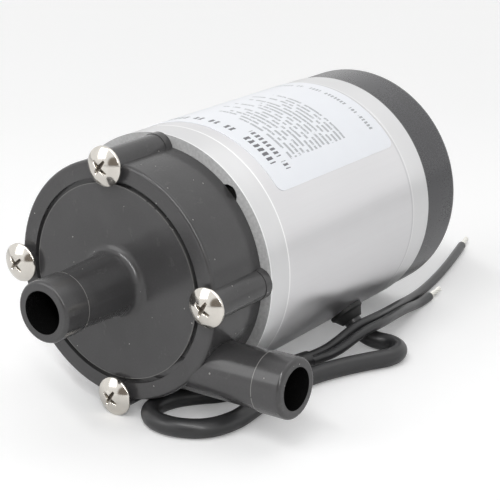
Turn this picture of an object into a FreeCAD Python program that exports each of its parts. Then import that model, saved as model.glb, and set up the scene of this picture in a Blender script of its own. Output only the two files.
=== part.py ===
"""Small magnetic-drive brewing pump: a moulded pump head on a round motor, with its cable.

Pieces are drawn as seen from the inlet: x to the right, y up, z towards the viewer, with
z = 0 on the front face of the pump head, so depths into the pump are negative. The frame
of the finished part has +Z up, the shaft along Y with the inlet facing -Y, and its origin
under the middle of the pump, on the surface that the pump lies on.
"""
import FreeCAD, Part
import math
import os
import Sketcher

SIZES = {
    # pump head, moulded front casing
    "casing_radius": 28.9,
    "casing_depth": 15.9,
    "edge_rounding": 0.9,
    "face_groove_radius": 23.6,
    "face_groove_width": 1.1,
    "face_groove_depth": 1.1,
    "boss_radius": 3.7,
    "boss_rise": 1.4,
    "screw_circle": 28.0,
    "chamber_cover": 2.1,
    "chamber_depth": 10.0,
    "volute_start": 20.8,
    "volute_growth": 0.95,
    # hose stubs
    "stub_bore": 5.0,
    "stub_collar_radius": 7.2,
    "stub_collar_length": 7.5,
    "stub_neck_radius": 6.85,
    "stub_mouth_rounding": 0.9,
    "inlet_reach": 24.2,
    "inlet_root_radius": 7.4,
    "inlet_root_fillet": 2.4,
    "outlet_reach": 45.85,
    "outlet_drop": 18.2,
    "outlet_depth": 7.05,
    "outlet_root_radius": 6.95,
    "outlet_throat_radius": 4.5,
    "outlet_throat_end": 18.0,
    "throat_radius": 7.3,
    "throat_cone": 2.6,
    # spider that carries the front end of the spindle
    "spider_hub_radius": 3.3,
    "spider_thickness": 3.0,
    "spider_arm_width": 1.5,
    # rear casing, the cup between the wet side and the dry side
    "flange_radius": 28.8,
    "flange_thickness": 2.15,
    "ear_radius": 3.85,
    "spigot_radius": 24.6,
    "spigot_clearance": 0.1,
    "core_out_radius": 21.4,
    "cup_radius": 16.4,
    "cup_wall": 1.5,
    "cup_floor_depth": 28.6,
    "cup_floor_thickness": 1.8,
    "socket_radius": 3.6,
    "socket_rise": 1.8,
    "socket_depth": 2.6,
    "ring_section": 0.95,
    "ring_groove_depth": 14.2,
    # spindle, washers and impeller
    "spindle_radius": 2.0,
    "running_gap": 0.05,
    "washer_radius": 3.3,
    "washer_thickness": 0.8,
    "end_float": 0.3,
    "bush_radius": 4.0,
    "hub_radius": 5.6,
    "shroud_radius": 19.0,
    "shroud_thickness": 1.4,
    "shroud_gap": 0.5,
    "vane_gap": 0.8,
    "vane_thickness": 1.5,
    "vane_count": 6,
    "carrier_gap": 0.8,
    "carrier_wall": 0.9,
    "carrier_floor": 3.6,
    "carrier_core": 7.6,
    "magnet_length": 11.6,
    "magnet_cap_thickness": 1.0,
    # casing screws
    "screw_radius": 2.0,
    "screw_hole_radius": 2.15,
    "screw_head_radius": 4.75,
    "screw_head_height": 2.4,
    "screw_head_rim": 0.5,
    "screw_reach": 6.5,
    "recess_width": 1.3,
    "recess_length": 5.4,
    "recess_depth": 1.5,
    # motor shell
    "shell_radius": 31.5,
    "shell_wall": 1.6,
    "front_bell_length": 7.8,
    "tube_length": 56.95,
    "rear_bell_length": 7.85,
    "bell_spigot_length": 4.0,
    "drive_chamber_radius": 24.7,
    "drum_wall": 1.3,
    "drum_floor_gap": 1.2,
    "web_thickness": 2.5,
    "bearing_seat_wall": 2.4,
    "seat_lip_radius": 5.5,
    "rear_web_inset": 1.7,
    # tie bolts through the motor
    "tie_bolt_inset": 2.3,
    "tie_bolt_radius": 1.25,
    "tie_head_radius": 2.2,
    "tie_head_height": 2.6,
    "tie_head_well_radius": 2.6,
    "tie_head_well_depth": 4.4,
    # drive coupling
    "air_gap": 1.0,
    "drive_magnet_thickness": 3.1,
    "drive_magnet_setback": 2.0,
    "yoke_clearance": 0.7,
    "yoke_wall": 1.9,
    "yoke_floor": 2.2,
    "yoke_hub_radius": 7.5,
    "yoke_hub_length": 5.0,
    "grub_screw_radius": 1.5,
    # shaft and bearings
    "shaft_radius": 2.5,
    "shaft_tail": 2.0,
    "bearing_radius": 8.0,
    "bearing_width": 5.0,
    "ball_circle": 5.25,
    "ball_radius": 1.35,
    "ball_play": 0.04,
    "race_gap": 0.9,
    "ball_count": 7,
    "wave_washer_thickness": 0.5,
    # motor electromagnetic parts
    "end_turn_gap": 1.6,
    "stack_length": 14.2,
    "rotor_radius": 14.7,
    "rotor_gap": 0.35,
    "slot_count": 12,
    "slot_width": 3.6,
    "slot_root": 16.6,
    "back_iron": 5.3,
    "slot_mouth": 1.6,
    "end_turn_length": 4.5,
    "cage_bar_count": 11,
    "cage_bar_radius": 1.1,
    "cage_bar_circle": 12.4,
    "cage_ring_inner": 9.0,
    "cage_ring_thickness": 2.0,
    # rear cap and what it covers
    "cap_radius": 31.2,
    "cap_length": 16.0,
    "cap_wall": 2.0,
    "cap_edge_rounding": 2.2,
    "cap_spigot_length": 2.4,
    "cap_pillar_radius": 3.4,
    "cap_screw_circle": 22.0,
    "cap_screw_radius": 1.45,
    "cap_screw_head_radius": 2.8,
    "cap_screw_head_height": 1.8,
    "cap_screw_well": 2.6,
    "capacitor_width": 30.0,
    "capacitor_height": 15.0,
    "capacitor_depth": 13.0,
    # rating label
    "label_thickness": 0.15,
    "label_front_depth": 30.1,
    "label_length": 51.5,
    # cable and its grommet
    "grommet_setback": 0.6,
    "grommet_hole_radius": 4.2,
    "grommet_flange_radius": 5.4,
    "grommet_flange": 0.95,
    "grommet_collar": 1.3,
    "grommet_nose": 1.8,
    "cable_radius": 2.3,
    "cable_neck": 3.4,
    "lead_radius": 1.25,
    "wire_end_radius": 0.8,
    "wire_end_length": 7.0,
}

LABEL_HALF_ANGLE = math.radians(54.7)
MAGNET_HALF_ANGLE = math.radians(40.0)
VANE_SWEEP = math.radians(58.0)
GROMMET_ANGLE = 138.0

UP = FreeCAD.Vector(0, 0, 1)
NODES = []


class Size:
    """A length together with the sheet formula that gives it."""

    def __init__(self, formula, value):
        self.formula = formula
        self.value = value

    def __add__(self, other):
        other = as_size(other)
        return Size(f"({self.formula} + {other.formula})", self.value + other.value)

    def __radd__(self, other):
        return as_size(other) + self

    def __sub__(self, other):
        other = as_size(other)
        return Size(f"({self.formula} - {other.formula})", self.value - other.value)

    def __rsub__(self, other):
        return as_size(other) - self

    def __mul__(self, other):
        other = as_size(other)
        return Size(f"({self.formula} * {other.formula})", self.value * other.value)

    def __rmul__(self, other):
        return as_size(other) * self

    def __truediv__(self, other):
        other = as_size(other)
        return Size(f"({self.formula} / {other.formula})", self.value / other.value)

    def __neg__(self):
        return Size(f"(0 - {self.formula})", -self.value)

    def __float__(self):
        return self.value


def as_size(number):
    """A plain number as a Size."""
    if isinstance(number, Size):
        return number
    return Size(f"({float(number):.9f})", float(number))


class Sheet:
    """The sizes by name, each bound to its cell."""

    def __init__(self, document):
        cells = document.addObject("Spreadsheet::Sheet", "Dims")
        for row, (name, value) in enumerate(SIZES.items(), start=1):
            cells.set(f"A{row}", name)
            cells.set(f"B{row}", str(value))
            cells.setAlias(f"B{row}", name)
            setattr(self, name, Size(f"Dims.{name}", float(value)))


doc = FreeCAD.newDocument("brewing_pump")
d = Sheet(doc)
doc.recompute()

# depths along the pump, from the front face of the head
CHAMBER_REAR = d.chamber_cover + d.chamber_depth
FLANGE_REAR = d.casing_depth + d.flange_thickness
FRONT_BELL_REAR = FLANGE_REAR + d.front_bell_length
TUBE_REAR = FRONT_BELL_REAR + d.tube_length
REAR_BELL_REAR = TUBE_REAR + d.rear_bell_length
CAP_REAR = REAR_BELL_REAR + d.cap_length
CUP_END = d.cup_floor_depth + d.cup_floor_thickness
SPIDER_REAR = d.chamber_cover + 0.5
WASHER_FRONT = SPIDER_REAR + d.washer_thickness
BUSH_FRONT = WASHER_FRONT + d.end_float
SOCKET_FACE = d.cup_floor_depth - d.socket_rise
BUSH_REAR = SOCKET_FACE - d.washer_thickness - d.end_float
SHROUD_REAR = CHAMBER_REAR - d.shroud_gap
SHROUD_FRONT = SHROUD_REAR - d.shroud_thickness
MAGNET_FRONT = SHROUD_REAR + d.carrier_floor
MAGNET_REAR = MAGNET_FRONT + d.magnet_length
YOKE_FLOOR_FRONT = CUP_END + d.air_gap
YOKE_FLOOR_REAR = YOKE_FLOOR_FRONT + d.yoke_floor
YOKE_FRONT = FLANGE_REAR + d.yoke_clearance
DRIVE_MAGNET_REAR = YOKE_FLOOR_FRONT - d.drive_magnet_setback
HUB_REAR = YOKE_FLOOR_FRONT + d.yoke_hub_length
DRUM_FLOOR = HUB_REAR + d.drum_floor_gap
DRUM_FLOOR_REAR = DRUM_FLOOR + d.web_thickness
FRONT_BEARING = DRUM_FLOOR + 1.0
FRONT_SEAT_REAR = FRONT_BEARING + d.bearing_width
REAR_WEB_REAR = REAR_BELL_REAR - d.rear_web_inset - 2.0
REAR_WEB_FRONT = REAR_WEB_REAR - d.web_thickness
REAR_WASHER = REAR_WEB_REAR - 1.0 - d.wave_washer_thickness
REAR_BEARING = REAR_WASHER - d.bearing_width
STACK_FRONT = DRUM_FLOOR_REAR + d.end_turn_gap + d.end_turn_length
STACK_REAR = STACK_FRONT + d.stack_length
GROMMET_DEPTH = STACK_REAR + d.grommet_flange_radius + d.grommet_setback
CAP_SPIGOT_FRONT = REAR_BELL_REAR - d.cap_spigot_length
CAP_FLOOR = CAP_REAR - d.cap_wall

# radii that follow from a fit
SHELL_BORE = d.shell_radius - d.shell_wall
CUP_OUTSIDE = d.cup_radius + d.cup_wall
CARRIER_RADIUS = d.cup_radius - d.carrier_gap
MAGNET_RADIUS = CARRIER_RADIUS - d.carrier_wall
BUSH_BORE = d.spindle_radius + d.running_gap
DRIVE_MAGNET_BORE = CUP_OUTSIDE + d.air_gap
YOKE_BORE = DRIVE_MAGNET_BORE + d.drive_magnet_thickness
YOKE_RADIUS = YOKE_BORE + d.yoke_wall
DRUM_RADIUS = d.drive_chamber_radius + d.drum_wall
SEAT_RADIUS = d.bearing_radius + d.bearing_seat_wall
TIE_SPOT = (SHELL_BORE - d.tie_bolt_inset) * math.sqrt(0.5)
SLOT_END = SHELL_BORE - d.back_iron

# the frame of the finished part
LOWEST = d.screw_circle + d.screw_head_radius
AXIS_X = (LOWEST - d.outlet_reach) / 2
FACE_Y = (d.inlet_reach - CAP_REAR) / 2


def place(piece, angle=0.0, depth=0.0):
    """Stand a piece drawn from the front in the frame of the part.

    With an angle, the piece's z axis points out of the motor's side instead, that many
    degrees from the top towards the outlet.
    """
    if angle:
        turn = FreeCAD.Rotation(FreeCAD.Vector(0, 1, 0), angle)
    else:
        turn = FreeCAD.Rotation(FreeCAD.Vector(1, 0, 0), 90)
    piece.Placement = FreeCAD.Placement(FreeCAD.Vector(), turn)
    piece.setExpression("Placement.Base.x", AXIS_X.formula)
    piece.setExpression("Placement.Base.y", (FACE_Y + depth).formula)
    piece.setExpression("Placement.Base.z", LOWEST.formula)


def start_body(label, angle=0.0, depth=0.0):
    body = doc.addObject("PartDesign::Body", label)
    body.Label = label
    place(body, angle, depth)
    NODES.append(body)
    return body


def start_sketch(body, role, x=0.0, y=0.0, z=0.0):
    """A sketch on one of the body's own planes, shifted in the plane's own directions."""
    sketch = body.newObject("Sketcher::SketchObject", f"{body.Name}_sketch")
    plane = [each for each in body.Origin.OriginFeatures if each.Role == role][0]
    sketch.AttachmentSupport = [(plane, "")]
    sketch.MapMode = "FlatFace"
    for axis, shift in (("x", x), ("y", y), ("z", z)):
        sketch.setExpression(f"AttachmentOffset.Base.{axis}", as_size(shift).formula)
    return sketch


def bind(sketch, kind, places, size):
    """A dimension of the sketch that follows the sheet."""
    size = as_size(size)
    index = sketch.addConstraint(Sketcher.Constraint(kind, *places, size.value))
    sketch.setExpression(f"Constraints[{index}]", size.formula)


def arc_through(start, end, radius):
    """An arc between two points, turning left for a positive radius."""
    chord = end - start
    middle = (start + end) * 0.5
    left = FreeCAD.Vector(-chord.y, chord.x, 0).normalize()
    half = chord.Length / 2
    height = math.sqrt(max(radius * radius - half * half, 0.0))
    side = math.copysign(1.0, radius)
    summit = middle + left * (side * (height - abs(radius)))
    return Part.Arc(start, summit, end)


def add_outline(sketch, points):
    """A closed outline. A point is (x, y), or (x, y, radius) where an arc leaves it."""
    spots = [FreeCAD.Vector(float(point[0]), float(point[1]), 0) for point in points]
    following = spots[1:] + spots[:1]
    ends = []
    for point, start, end in zip(points, spots, following):
        if len(point) == 3:
            index = sketch.addGeometry(arc_through(start, end, float(point[2])), False)
            bind(sketch, "Radius", (index,), point[2] if float(point[2]) > 0 else -point[2])
        else:
            index = sketch.addGeometry(Part.LineSegment(start, end), False)
        near = 1 if (sketch.getPoint(index, 1) - start).Length < 0.001 else 2
        ends.append((index, near, 3 - near))
    for (before, _, finish), (after, begin, _) in zip(ends[-1:] + ends[:-1], ends):
        sketch.addConstraint(Sketcher.Constraint("Coincident", before, finish, after, begin))
    for (index, begin, _), point in zip(ends, points):
        bind(sketch, "DistanceX", (-1, 1, index, begin), point[0])
        bind(sketch, "DistanceY", (-1, 1, index, begin), point[1])


def add_circle(sketch, radius, x=0.0, y=0.0):
    centre = FreeCAD.Vector(float(x), float(y), 0)
    index = sketch.addGeometry(Part.Circle(centre, UP, float(radius)), False)
    bind(sketch, "Radius", (index,), radius)
    bind(sketch, "DistanceX", (-1, 1, index, 3), x)
    bind(sketch, "DistanceY", (-1, 1, index, 3), y)


def add_feature(body, kind, sketch):
    feature = body.newObject(f"PartDesign::{kind}", f"{body.Name}_{kind.lower()}")
    feature.Profile = sketch
    return feature


def turn(body, points, kind="Revolution"):
    """Turn an outline of (radius, height) points about the z axis, as metal or as a cut."""
    sketch = start_sketch(body, "XZ_Plane")
    add_outline(sketch, points)
    feature = add_feature(body, kind, sketch)
    feature.ReferenceAxis = (sketch, ["V_Axis"])
    feature.Angle = 360
    return feature


def turned(label, points, angle=0.0, depth=0.0):
    body = start_body(label, angle, depth)
    turn(body, points)
    return body


def tube_points(inner, outer, front, rear):
    """The section of a plain ring between two depths."""
    return [(inner, -front), (outer, -front), (outer, -rear), (inner, -rear)]


def raise_outline(body, front, rear, points=None, circle=None):
    """Solid material between two depths, from an outline or from (radius, x, y)."""
    sketch = start_sketch(body, "XY_Plane", z=-rear)
    if circle:
        add_circle(sketch, *circle)
    else:
        add_outline(sketch, points)
    feature = add_feature(body, "Pad", sketch)
    feature.setExpression("Length", (rear - front).formula)
    return feature


def cut_outline(body, front, rear, points=None, circle=None):
    """An opening between two depths, from an outline or from (radius, x, y)."""
    sketch = start_sketch(body, "XY_Plane", z=-front)
    if circle:
        add_circle(sketch, *circle)
    else:
        add_outline(sketch, points)
    feature = add_feature(body, "Pocket", sketch)
    feature.setExpression("Length", (rear - front).formula)
    return feature


def repeat(body, feature, count):
    """Repeat a feature evenly about the z axis."""
    pattern = body.newObject("PartDesign::PolarPattern", f"{body.Name}_pattern")
    pattern.Originals = [feature]
    pattern.Axis = (feature.Profile[0], ["N_Axis"])
    pattern.Angle = 360
    pattern.setExpression("Occurrences", as_size(count).formula)
    body.Tip = pattern
    return pattern


def rectangle(left, right, bottom, top):
    return [(left, bottom), (right, bottom), (right, top), (left, top)]


def sector(inner, outer, half_angle, middle=math.pi / 2):
    """The outline of a piece of a ring, centred on the given direction."""
    low = middle - half_angle
    high = middle + half_angle
    return [
        (inner * math.cos(high), inner * math.sin(high), -inner),
        (inner * math.cos(low), inner * math.sin(low)),
        (outer * math.cos(low), outer * math.sin(low), as_size(outer)),
        (outer * math.cos(high), outer * math.sin(high)),
    ]


def stub_outline(root_radius, root, tip):
    """A hose stub's half section as (radius, reach) points, from its root to its mouth."""
    collar = tip - d.stub_collar_length
    return [
        (0.0, root),
        (root_radius, root),
        (d.stub_neck_radius, collar),
        (d.stub_collar_radius, collar),
        (d.stub_collar_radius, tip - d.stub_mouth_rounding, d.stub_mouth_rounding),
        (d.stub_collar_radius - d.stub_mouth_rounding, tip),
        (0.0, tip),
    ]


def across(points):
    """The same outline with its two directions exchanged."""
    return [(point[1], point[0], *[-radius for radius in point[2:]]) for point in points]


def volute_outline():
    """Four quarter arcs that grow towards the outlet, as a pump's spiral does."""
    step = d.volute_growth
    first = d.volute_start
    second = first + step
    third = second + step
    fourth = third + step
    half = step / 2
    return [
        (half, half - first, first),
        (half + first, half, second),
        (half - step, half + second, third),
        (-half - third, half - step, fourth),
        (half - step, -half - fourth),
        (half, -half - fourth),
    ]


def make_front_casing():
    """The moulded head: volute, both hose stubs, screw bosses and the spindle's spider."""
    body = start_body("front_casing")
    rim = d.edge_rounding
    turn(body, [
        (0.0, 0.0),
        (d.casing_radius - rim, 0.0, -rim),
        (d.casing_radius, -rim),
        (d.casing_radius, -d.casing_depth),
        (0.0, -d.casing_depth),
    ])
    groove = d.face_groove_radius
    turn(body, [
        (groove, 0.0),
        (groove + d.face_groove_width, 0.0),
        (groove + d.face_groove_width, -d.face_groove_depth),
        (groove, -d.face_groove_depth),
    ], "Groove")
    root = d.inlet_root_radius + d.inlet_root_fillet
    turn(body, [
        (0.0, -rim),
        (root, -rim),
        (root, 0.0, -d.inlet_root_fillet),
        (d.inlet_root_radius, d.inlet_root_fillet),
    ] + stub_outline(d.inlet_root_radius, 0.0, d.inlet_reach)[2:])
    outlet = start_sketch(body, "XY_Plane", y=-d.outlet_drop, z=-d.outlet_depth)
    add_outline(outlet, across(stub_outline(d.outlet_root_radius, 0.0, d.outlet_reach)))
    pipe = add_feature(body, "Revolution", outlet)
    pipe.ReferenceAxis = (outlet, ["H_Axis"])
    pipe.Angle = 360
    boss = raise_outline(body, -d.boss_rise, d.casing_depth, circle=(d.boss_radius, 0.0, d.screw_circle))
    repeat(body, boss, 4)
    cut_outline(body, d.chamber_cover, CHAMBER_REAR, points=volute_outline())
    spigot = d.spigot_radius + d.spigot_clearance
    cut_outline(body, CHAMBER_REAR, d.casing_depth, circle=(spigot,))
    hole = cut_outline(body, -d.boss_rise, d.casing_depth, circle=(d.screw_hole_radius, 0.0, d.screw_circle))
    repeat(body, hole, 4)
    throat = d.throat_cone - d.chamber_cover
    turn(body, [
        (0.0, d.inlet_reach),
        (d.stub_bore, d.inlet_reach),
        (d.stub_bore, throat + d.throat_cone),
        (d.throat_radius, throat),
        (d.throat_radius, -d.chamber_cover),
        (0.0, -d.chamber_cover),
    ], "Groove")
    bores = [(d.outlet_throat_radius, 0.0, d.outlet_throat_end), (d.stub_bore, d.outlet_throat_end, d.outlet_reach)]
    for radius, begin, end in bores:
        bore = start_sketch(body, "YZ_Plane", z=begin)
        add_circle(bore, radius, -d.outlet_drop, -d.outlet_depth)
        drill = add_feature(body, "Pocket", bore)
        drill.Reversed = True
        drill.setExpression("Length", (end - begin).formula)
    spider_front = SPIDER_REAR - d.spider_thickness
    half_arm = d.spider_arm_width / 2
    reach = d.throat_radius + 0.6
    arm = raise_outline(body, spider_front, d.chamber_cover, points=rectangle(-half_arm, half_arm, 0.0, reach))
    repeat(body, arm, 3)
    raise_outline(body, spider_front, SPIDER_REAR, circle=(d.spider_hub_radius,))
    cut_outline(body, spider_front + 0.8, SPIDER_REAR, circle=(d.spindle_radius,))


def make_rear_casing():
    """Flange with ears, spigot with its ring groove, and the cup that the magnet turns in."""
    body = turned("rear_casing", [
        (0.0, -SOCKET_FACE),
        (d.socket_radius, -SOCKET_FACE),
        (d.socket_radius, -d.cup_floor_depth),
        (d.cup_radius, -d.cup_floor_depth),
        (d.cup_radius, -CHAMBER_REAR),
        (d.spigot_radius, -CHAMBER_REAR),
        (d.spigot_radius, -d.casing_depth),
        (d.flange_radius, -d.casing_depth),
        (d.flange_radius, -FLANGE_REAR),
        (d.core_out_radius, -FLANGE_REAR),
        (d.core_out_radius, -(CHAMBER_REAR + 1.9)),
        (CUP_OUTSIDE, -(CHAMBER_REAR + 1.9)),
        (CUP_OUTSIDE, -CUP_END),
        (0.0, -CUP_END),
    ])
    ring_bore = d.spigot_radius + d.spigot_clearance - 2 * d.ring_section
    turn(body, tube_points(ring_bore, d.spigot_radius + 0.5, d.ring_groove_depth - 1.1,
                           d.ring_groove_depth + 1.1), "Groove")
    ear = raise_outline(body, d.casing_depth, FLANGE_REAR, circle=(d.ear_radius, 0.0, d.screw_circle))
    repeat(body, ear, 4)
    hole = cut_outline(body, d.casing_depth, FLANGE_REAR, circle=(d.screw_hole_radius, 0.0, d.screw_circle))
    repeat(body, hole, 4)
    cut_outline(body, SOCKET_FACE, SOCKET_FACE + d.socket_depth, circle=(d.spindle_radius,))


def make_casing_ring():
    """The round-section seal in the spigot's groove."""
    body = start_body("casing_o_ring")
    sketch = start_sketch(body, "XZ_Plane")
    middle = d.spigot_radius + d.spigot_clearance - d.ring_section
    add_circle(sketch, d.ring_section, middle, -d.ring_groove_depth)
    ring = add_feature(body, "Revolution", sketch)
    ring.ReferenceAxis = (sketch, ["V_Axis"])
    ring.Angle = 360


def make_spindle_parts():
    """Fixed ceramic spindle with a thrust washer at each end of the impeller."""
    front = SPIDER_REAR - d.spider_thickness + 0.8
    turned("spindle", tube_points(0.0, d.spindle_radius, front, SOCKET_FACE + d.socket_depth))
    turned("front_thrust_washer", tube_points(d.spindle_radius, d.washer_radius, SPIDER_REAR, WASHER_FRONT))
    rear = SOCKET_FACE - d.washer_thickness
    turned("rear_thrust_washer", tube_points(d.spindle_radius, d.washer_radius, rear, SOCKET_FACE))


def vane_outline():
    """A backward-curved vane: it leans away from the turn as it goes out."""
    inner = d.hub_radius - 0.5
    outer = d.shroud_radius
    thick = d.vane_thickness
    end = -VANE_SWEEP
    other = end + 1.15 * float(thick) / float(outer)
    bend = outer * 0.78
    return [
        (inner, 0.0, -bend),
        (outer * math.cos(end), outer * math.sin(end), outer),
        (outer * math.cos(other), outer * math.sin(other), bend + thick),
        (inner, thick),
    ]


def make_impeller():
    """Hub, back shroud and curved vanes, with the pocket that holds the driven magnet."""
    body = turned("impeller", [
        (d.bush_radius, -BUSH_FRONT),
        (d.hub_radius, -BUSH_FRONT),
        (d.hub_radius, -SHROUD_FRONT),
        (d.shroud_radius, -SHROUD_FRONT),
        (d.shroud_radius, -SHROUD_REAR),
        (CARRIER_RADIUS, -SHROUD_REAR),
        (CARRIER_RADIUS, -MAGNET_REAR),
        (MAGNET_RADIUS, -MAGNET_REAR),
        (MAGNET_RADIUS, -MAGNET_FRONT),
        (d.carrier_core, -MAGNET_FRONT),
        (d.carrier_core, -MAGNET_REAR),
        (d.bush_radius, -MAGNET_REAR),
    ])
    vane = raise_outline(body, d.chamber_cover + d.vane_gap, SHROUD_FRONT, points=vane_outline())
    repeat(body, vane, d.vane_count)
    turned("impeller_magnet", tube_points(d.carrier_core, MAGNET_RADIUS, MAGNET_FRONT, MAGNET_REAR))
    cap_rear = MAGNET_REAR + d.magnet_cap_thickness
    turned("magnet_cap", tube_points(d.bush_radius, CARRIER_RADIUS, MAGNET_REAR, cap_rear))
    turned("impeller_bush", tube_points(BUSH_BORE, d.bush_radius, BUSH_FRONT, BUSH_REAR))


def make_casing_screws():
    """Four domed cross-recess screws that clamp the head to the motor."""
    body = start_body("casing_screws")
    seat = -d.boss_rise
    rim = d.screw_head_rim
    head = d.screw_head_height
    dome = (d.screw_head_radius * d.screw_head_radius + (head - rim) * (head - rim)) / (2 * (head - rim))
    sketch = start_sketch(body, "XZ_Plane", x=d.screw_circle)
    add_outline(sketch, [
        (0.0, head - seat),
        (0.0, -(FLANGE_REAR + d.screw_reach)),
        (d.screw_radius, -(FLANGE_REAR + d.screw_reach)),
        (d.screw_radius, -seat),
        (d.screw_head_radius, -seat),
        (d.screw_head_radius, rim - seat, dome),
    ])
    screw = add_feature(body, "Revolution", sketch)
    screw.ReferenceAxis = (sketch, ["V_Axis"])
    screw.Angle = 360
    half = d.recess_length / 2
    thin = d.recess_width / 2
    top = seat - head
    x = d.screw_circle
    slot = cut_outline(body, top, top + d.recess_depth, points=[
        (x - half, -thin),
        (x - thin, -thin),
        (x - thin, -half),
        (x + thin, -half),
        (x + thin, -thin),
        (x + half, -thin),
        (x + half, thin),
        (x + thin, thin),
        (x + thin, half),
        (x - thin, half),
        (x - thin, thin),
        (x - half, thin),
    ])
    pattern = repeat(body, screw, 4)
    pattern.Originals = [screw, slot]
    pattern.Axis = (slot.Profile[0], ["N_Axis"])


def make_front_bell():
    """Cast end of the motor that carries the head and the front bearing."""
    body = turned("front_end_bell", [
        (d.drive_chamber_radius, -FLANGE_REAR),
        (d.shell_radius, -FLANGE_REAR),
        (d.shell_radius, -FRONT_BELL_REAR),
        (SHELL_BORE, -FRONT_BELL_REAR),
        (SHELL_BORE, -(FRONT_BELL_REAR + d.bell_spigot_length)),
        (DRUM_RADIUS, -(FRONT_BELL_REAR + d.bell_spigot_length)),
        (DRUM_RADIUS, -DRUM_FLOOR_REAR),
        (SEAT_RADIUS, -DRUM_FLOOR_REAR),
        (SEAT_RADIUS, -FRONT_SEAT_REAR),
        (d.bearing_radius, -FRONT_SEAT_REAR),
        (d.bearing_radius, -FRONT_BEARING),
        (d.seat_lip_radius, -FRONT_BEARING),
        (d.seat_lip_radius, -DRUM_FLOOR),
        (d.drive_chamber_radius, -DRUM_FLOOR),
    ])
    tapped = FLANGE_REAR + d.screw_reach
    hole = cut_outline(body, FLANGE_REAR, tapped, circle=(d.screw_radius, 0.0, d.screw_circle))
    repeat(body, hole, 4)
    well = cut_outline(body, FLANGE_REAR, FLANGE_REAR + d.tie_head_well_depth,
                       circle=(d.tie_head_well_radius, TIE_SPOT, TIE_SPOT))
    repeat(body, well, 4)
    spigot_rear = FRONT_BELL_REAR + d.bell_spigot_length
    way = cut_outline(body, FLANGE_REAR, spigot_rear, circle=(d.tie_bolt_radius, TIE_SPOT, TIE_SPOT))
    repeat(body, way, 4)


def make_rear_bell():
    """Cast end of the motor that carries the rear bearing and takes the tie bolts."""
    body = turned("rear_end_bell", [
        (d.seat_lip_radius, -REAR_WEB_REAR),
        (SHELL_BORE, -REAR_WEB_REAR),
        (SHELL_BORE, -REAR_BELL_REAR),
        (d.shell_radius, -REAR_BELL_REAR),
        (d.shell_radius, -TUBE_REAR),
        (SHELL_BORE, -TUBE_REAR),
        (SHELL_BORE, -(TUBE_REAR - d.bell_spigot_length)),
        (SHELL_BORE - d.shell_wall, -(TUBE_REAR - d.bell_spigot_length)),
        (SHELL_BORE - d.shell_wall, -REAR_WEB_FRONT),
        (SEAT_RADIUS, -REAR_WEB_FRONT),
        (SEAT_RADIUS, -REAR_BEARING),
        (d.bearing_radius, -REAR_BEARING),
        (d.bearing_radius, -(REAR_WASHER + d.wave_washer_thickness)),
        (d.seat_lip_radius, -(REAR_WASHER + d.wave_washer_thickness)),
    ])
    lug = raise_outline(body, TUBE_REAR - d.bell_spigot_length, REAR_WEB_FRONT,
                        circle=(d.tie_bolt_radius + 0.9, TIE_SPOT, TIE_SPOT))
    repeat(body, lug, 4)
    hole = cut_outline(body, TUBE_REAR - d.bell_spigot_length, REAR_WEB_REAR,
                       circle=(d.tie_bolt_radius, TIE_SPOT, TIE_SPOT))
    repeat(body, hole, 4)
    tapped = cut_outline(body, REAR_WEB_FRONT, REAR_WEB_REAR,
                         circle=(d.cap_screw_radius, d.cap_screw_circle, 0.0))
    repeat(body, tapped, 2)


def make_motor_tube():
    """Rolled tube between the two bells, with the hole that the grommet sits in."""
    blank = start_body("tube_blank")
    NODES.remove(blank)
    turn(blank, tube_points(SHELL_BORE, d.shell_radius, FRONT_BELL_REAR, TUBE_REAR))
    drill = doc.addObject("Part::Cylinder", "grommet_drill")
    drill.setExpression("Radius", d.grommet_hole_radius.formula)
    drill.setExpression("Height", (d.shell_radius + 5.0).formula)
    place(drill, GROMMET_ANGLE, GROMMET_DEPTH)
    tube = doc.addObject("Part::Cut", "motor_tube")
    tube.Label = "motor_tube"
    tube.Base = blank
    tube.Tool = drill
    NODES.append(tube)


def make_tie_bolts():
    """Four long bolts that pull the bells onto the tube."""
    body = start_body("tie_bolts")
    seat = FLANGE_REAR + d.tie_head_well_depth
    head = raise_outline(body, seat - d.tie_head_height, seat, circle=(d.tie_head_radius, TIE_SPOT, TIE_SPOT))
    shank = raise_outline(body, seat, REAR_WEB_REAR, circle=(d.tie_bolt_radius, TIE_SPOT, TIE_SPOT))
    pattern = repeat(body, shank, 4)
    pattern.Originals = [head, shank]


def make_drive_coupling():
    """Steel yoke on the motor shaft with four magnets that face the cup."""
    yoke = turned("drive_yoke", [
        (d.shaft_radius, -YOKE_FLOOR_FRONT),
        (YOKE_BORE, -YOKE_FLOOR_FRONT),
        (YOKE_BORE, -YOKE_FRONT),
        (YOKE_RADIUS, -YOKE_FRONT),
        (YOKE_RADIUS, -YOKE_FLOOR_REAR),
        (d.yoke_hub_radius, -YOKE_FLOOR_REAR),
        (d.yoke_hub_radius, -HUB_REAR),
        (d.shaft_radius, -HUB_REAR),
    ])
    grub_depth = (YOKE_FLOOR_REAR + HUB_REAR) / 2
    tapped = start_sketch(yoke, "XZ_Plane")
    add_circle(tapped, d.grub_screw_radius, 0.0, -grub_depth)
    way = add_feature(yoke, "Pocket", tapped)
    way.setExpression("Length", d.yoke_hub_radius.formula)
    grub = start_body("yoke_grub_screw")
    sketch = start_sketch(grub, "XZ_Plane", z=-d.yoke_hub_radius + 0.5)
    add_circle(sketch, d.grub_screw_radius, 0.0, -grub_depth)
    screw = add_feature(grub, "Pad", sketch)
    screw.setExpression("Length", (d.yoke_hub_radius - 0.5 - d.shaft_radius).formula)
    magnets = start_body("drive_magnets")
    block = raise_outline(magnets, YOKE_FRONT, DRIVE_MAGNET_REAR,
                          points=sector(DRIVE_MAGNET_BORE, YOKE_BORE, MAGNET_HALF_ANGLE))
    repeat(magnets, block, 4)


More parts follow.
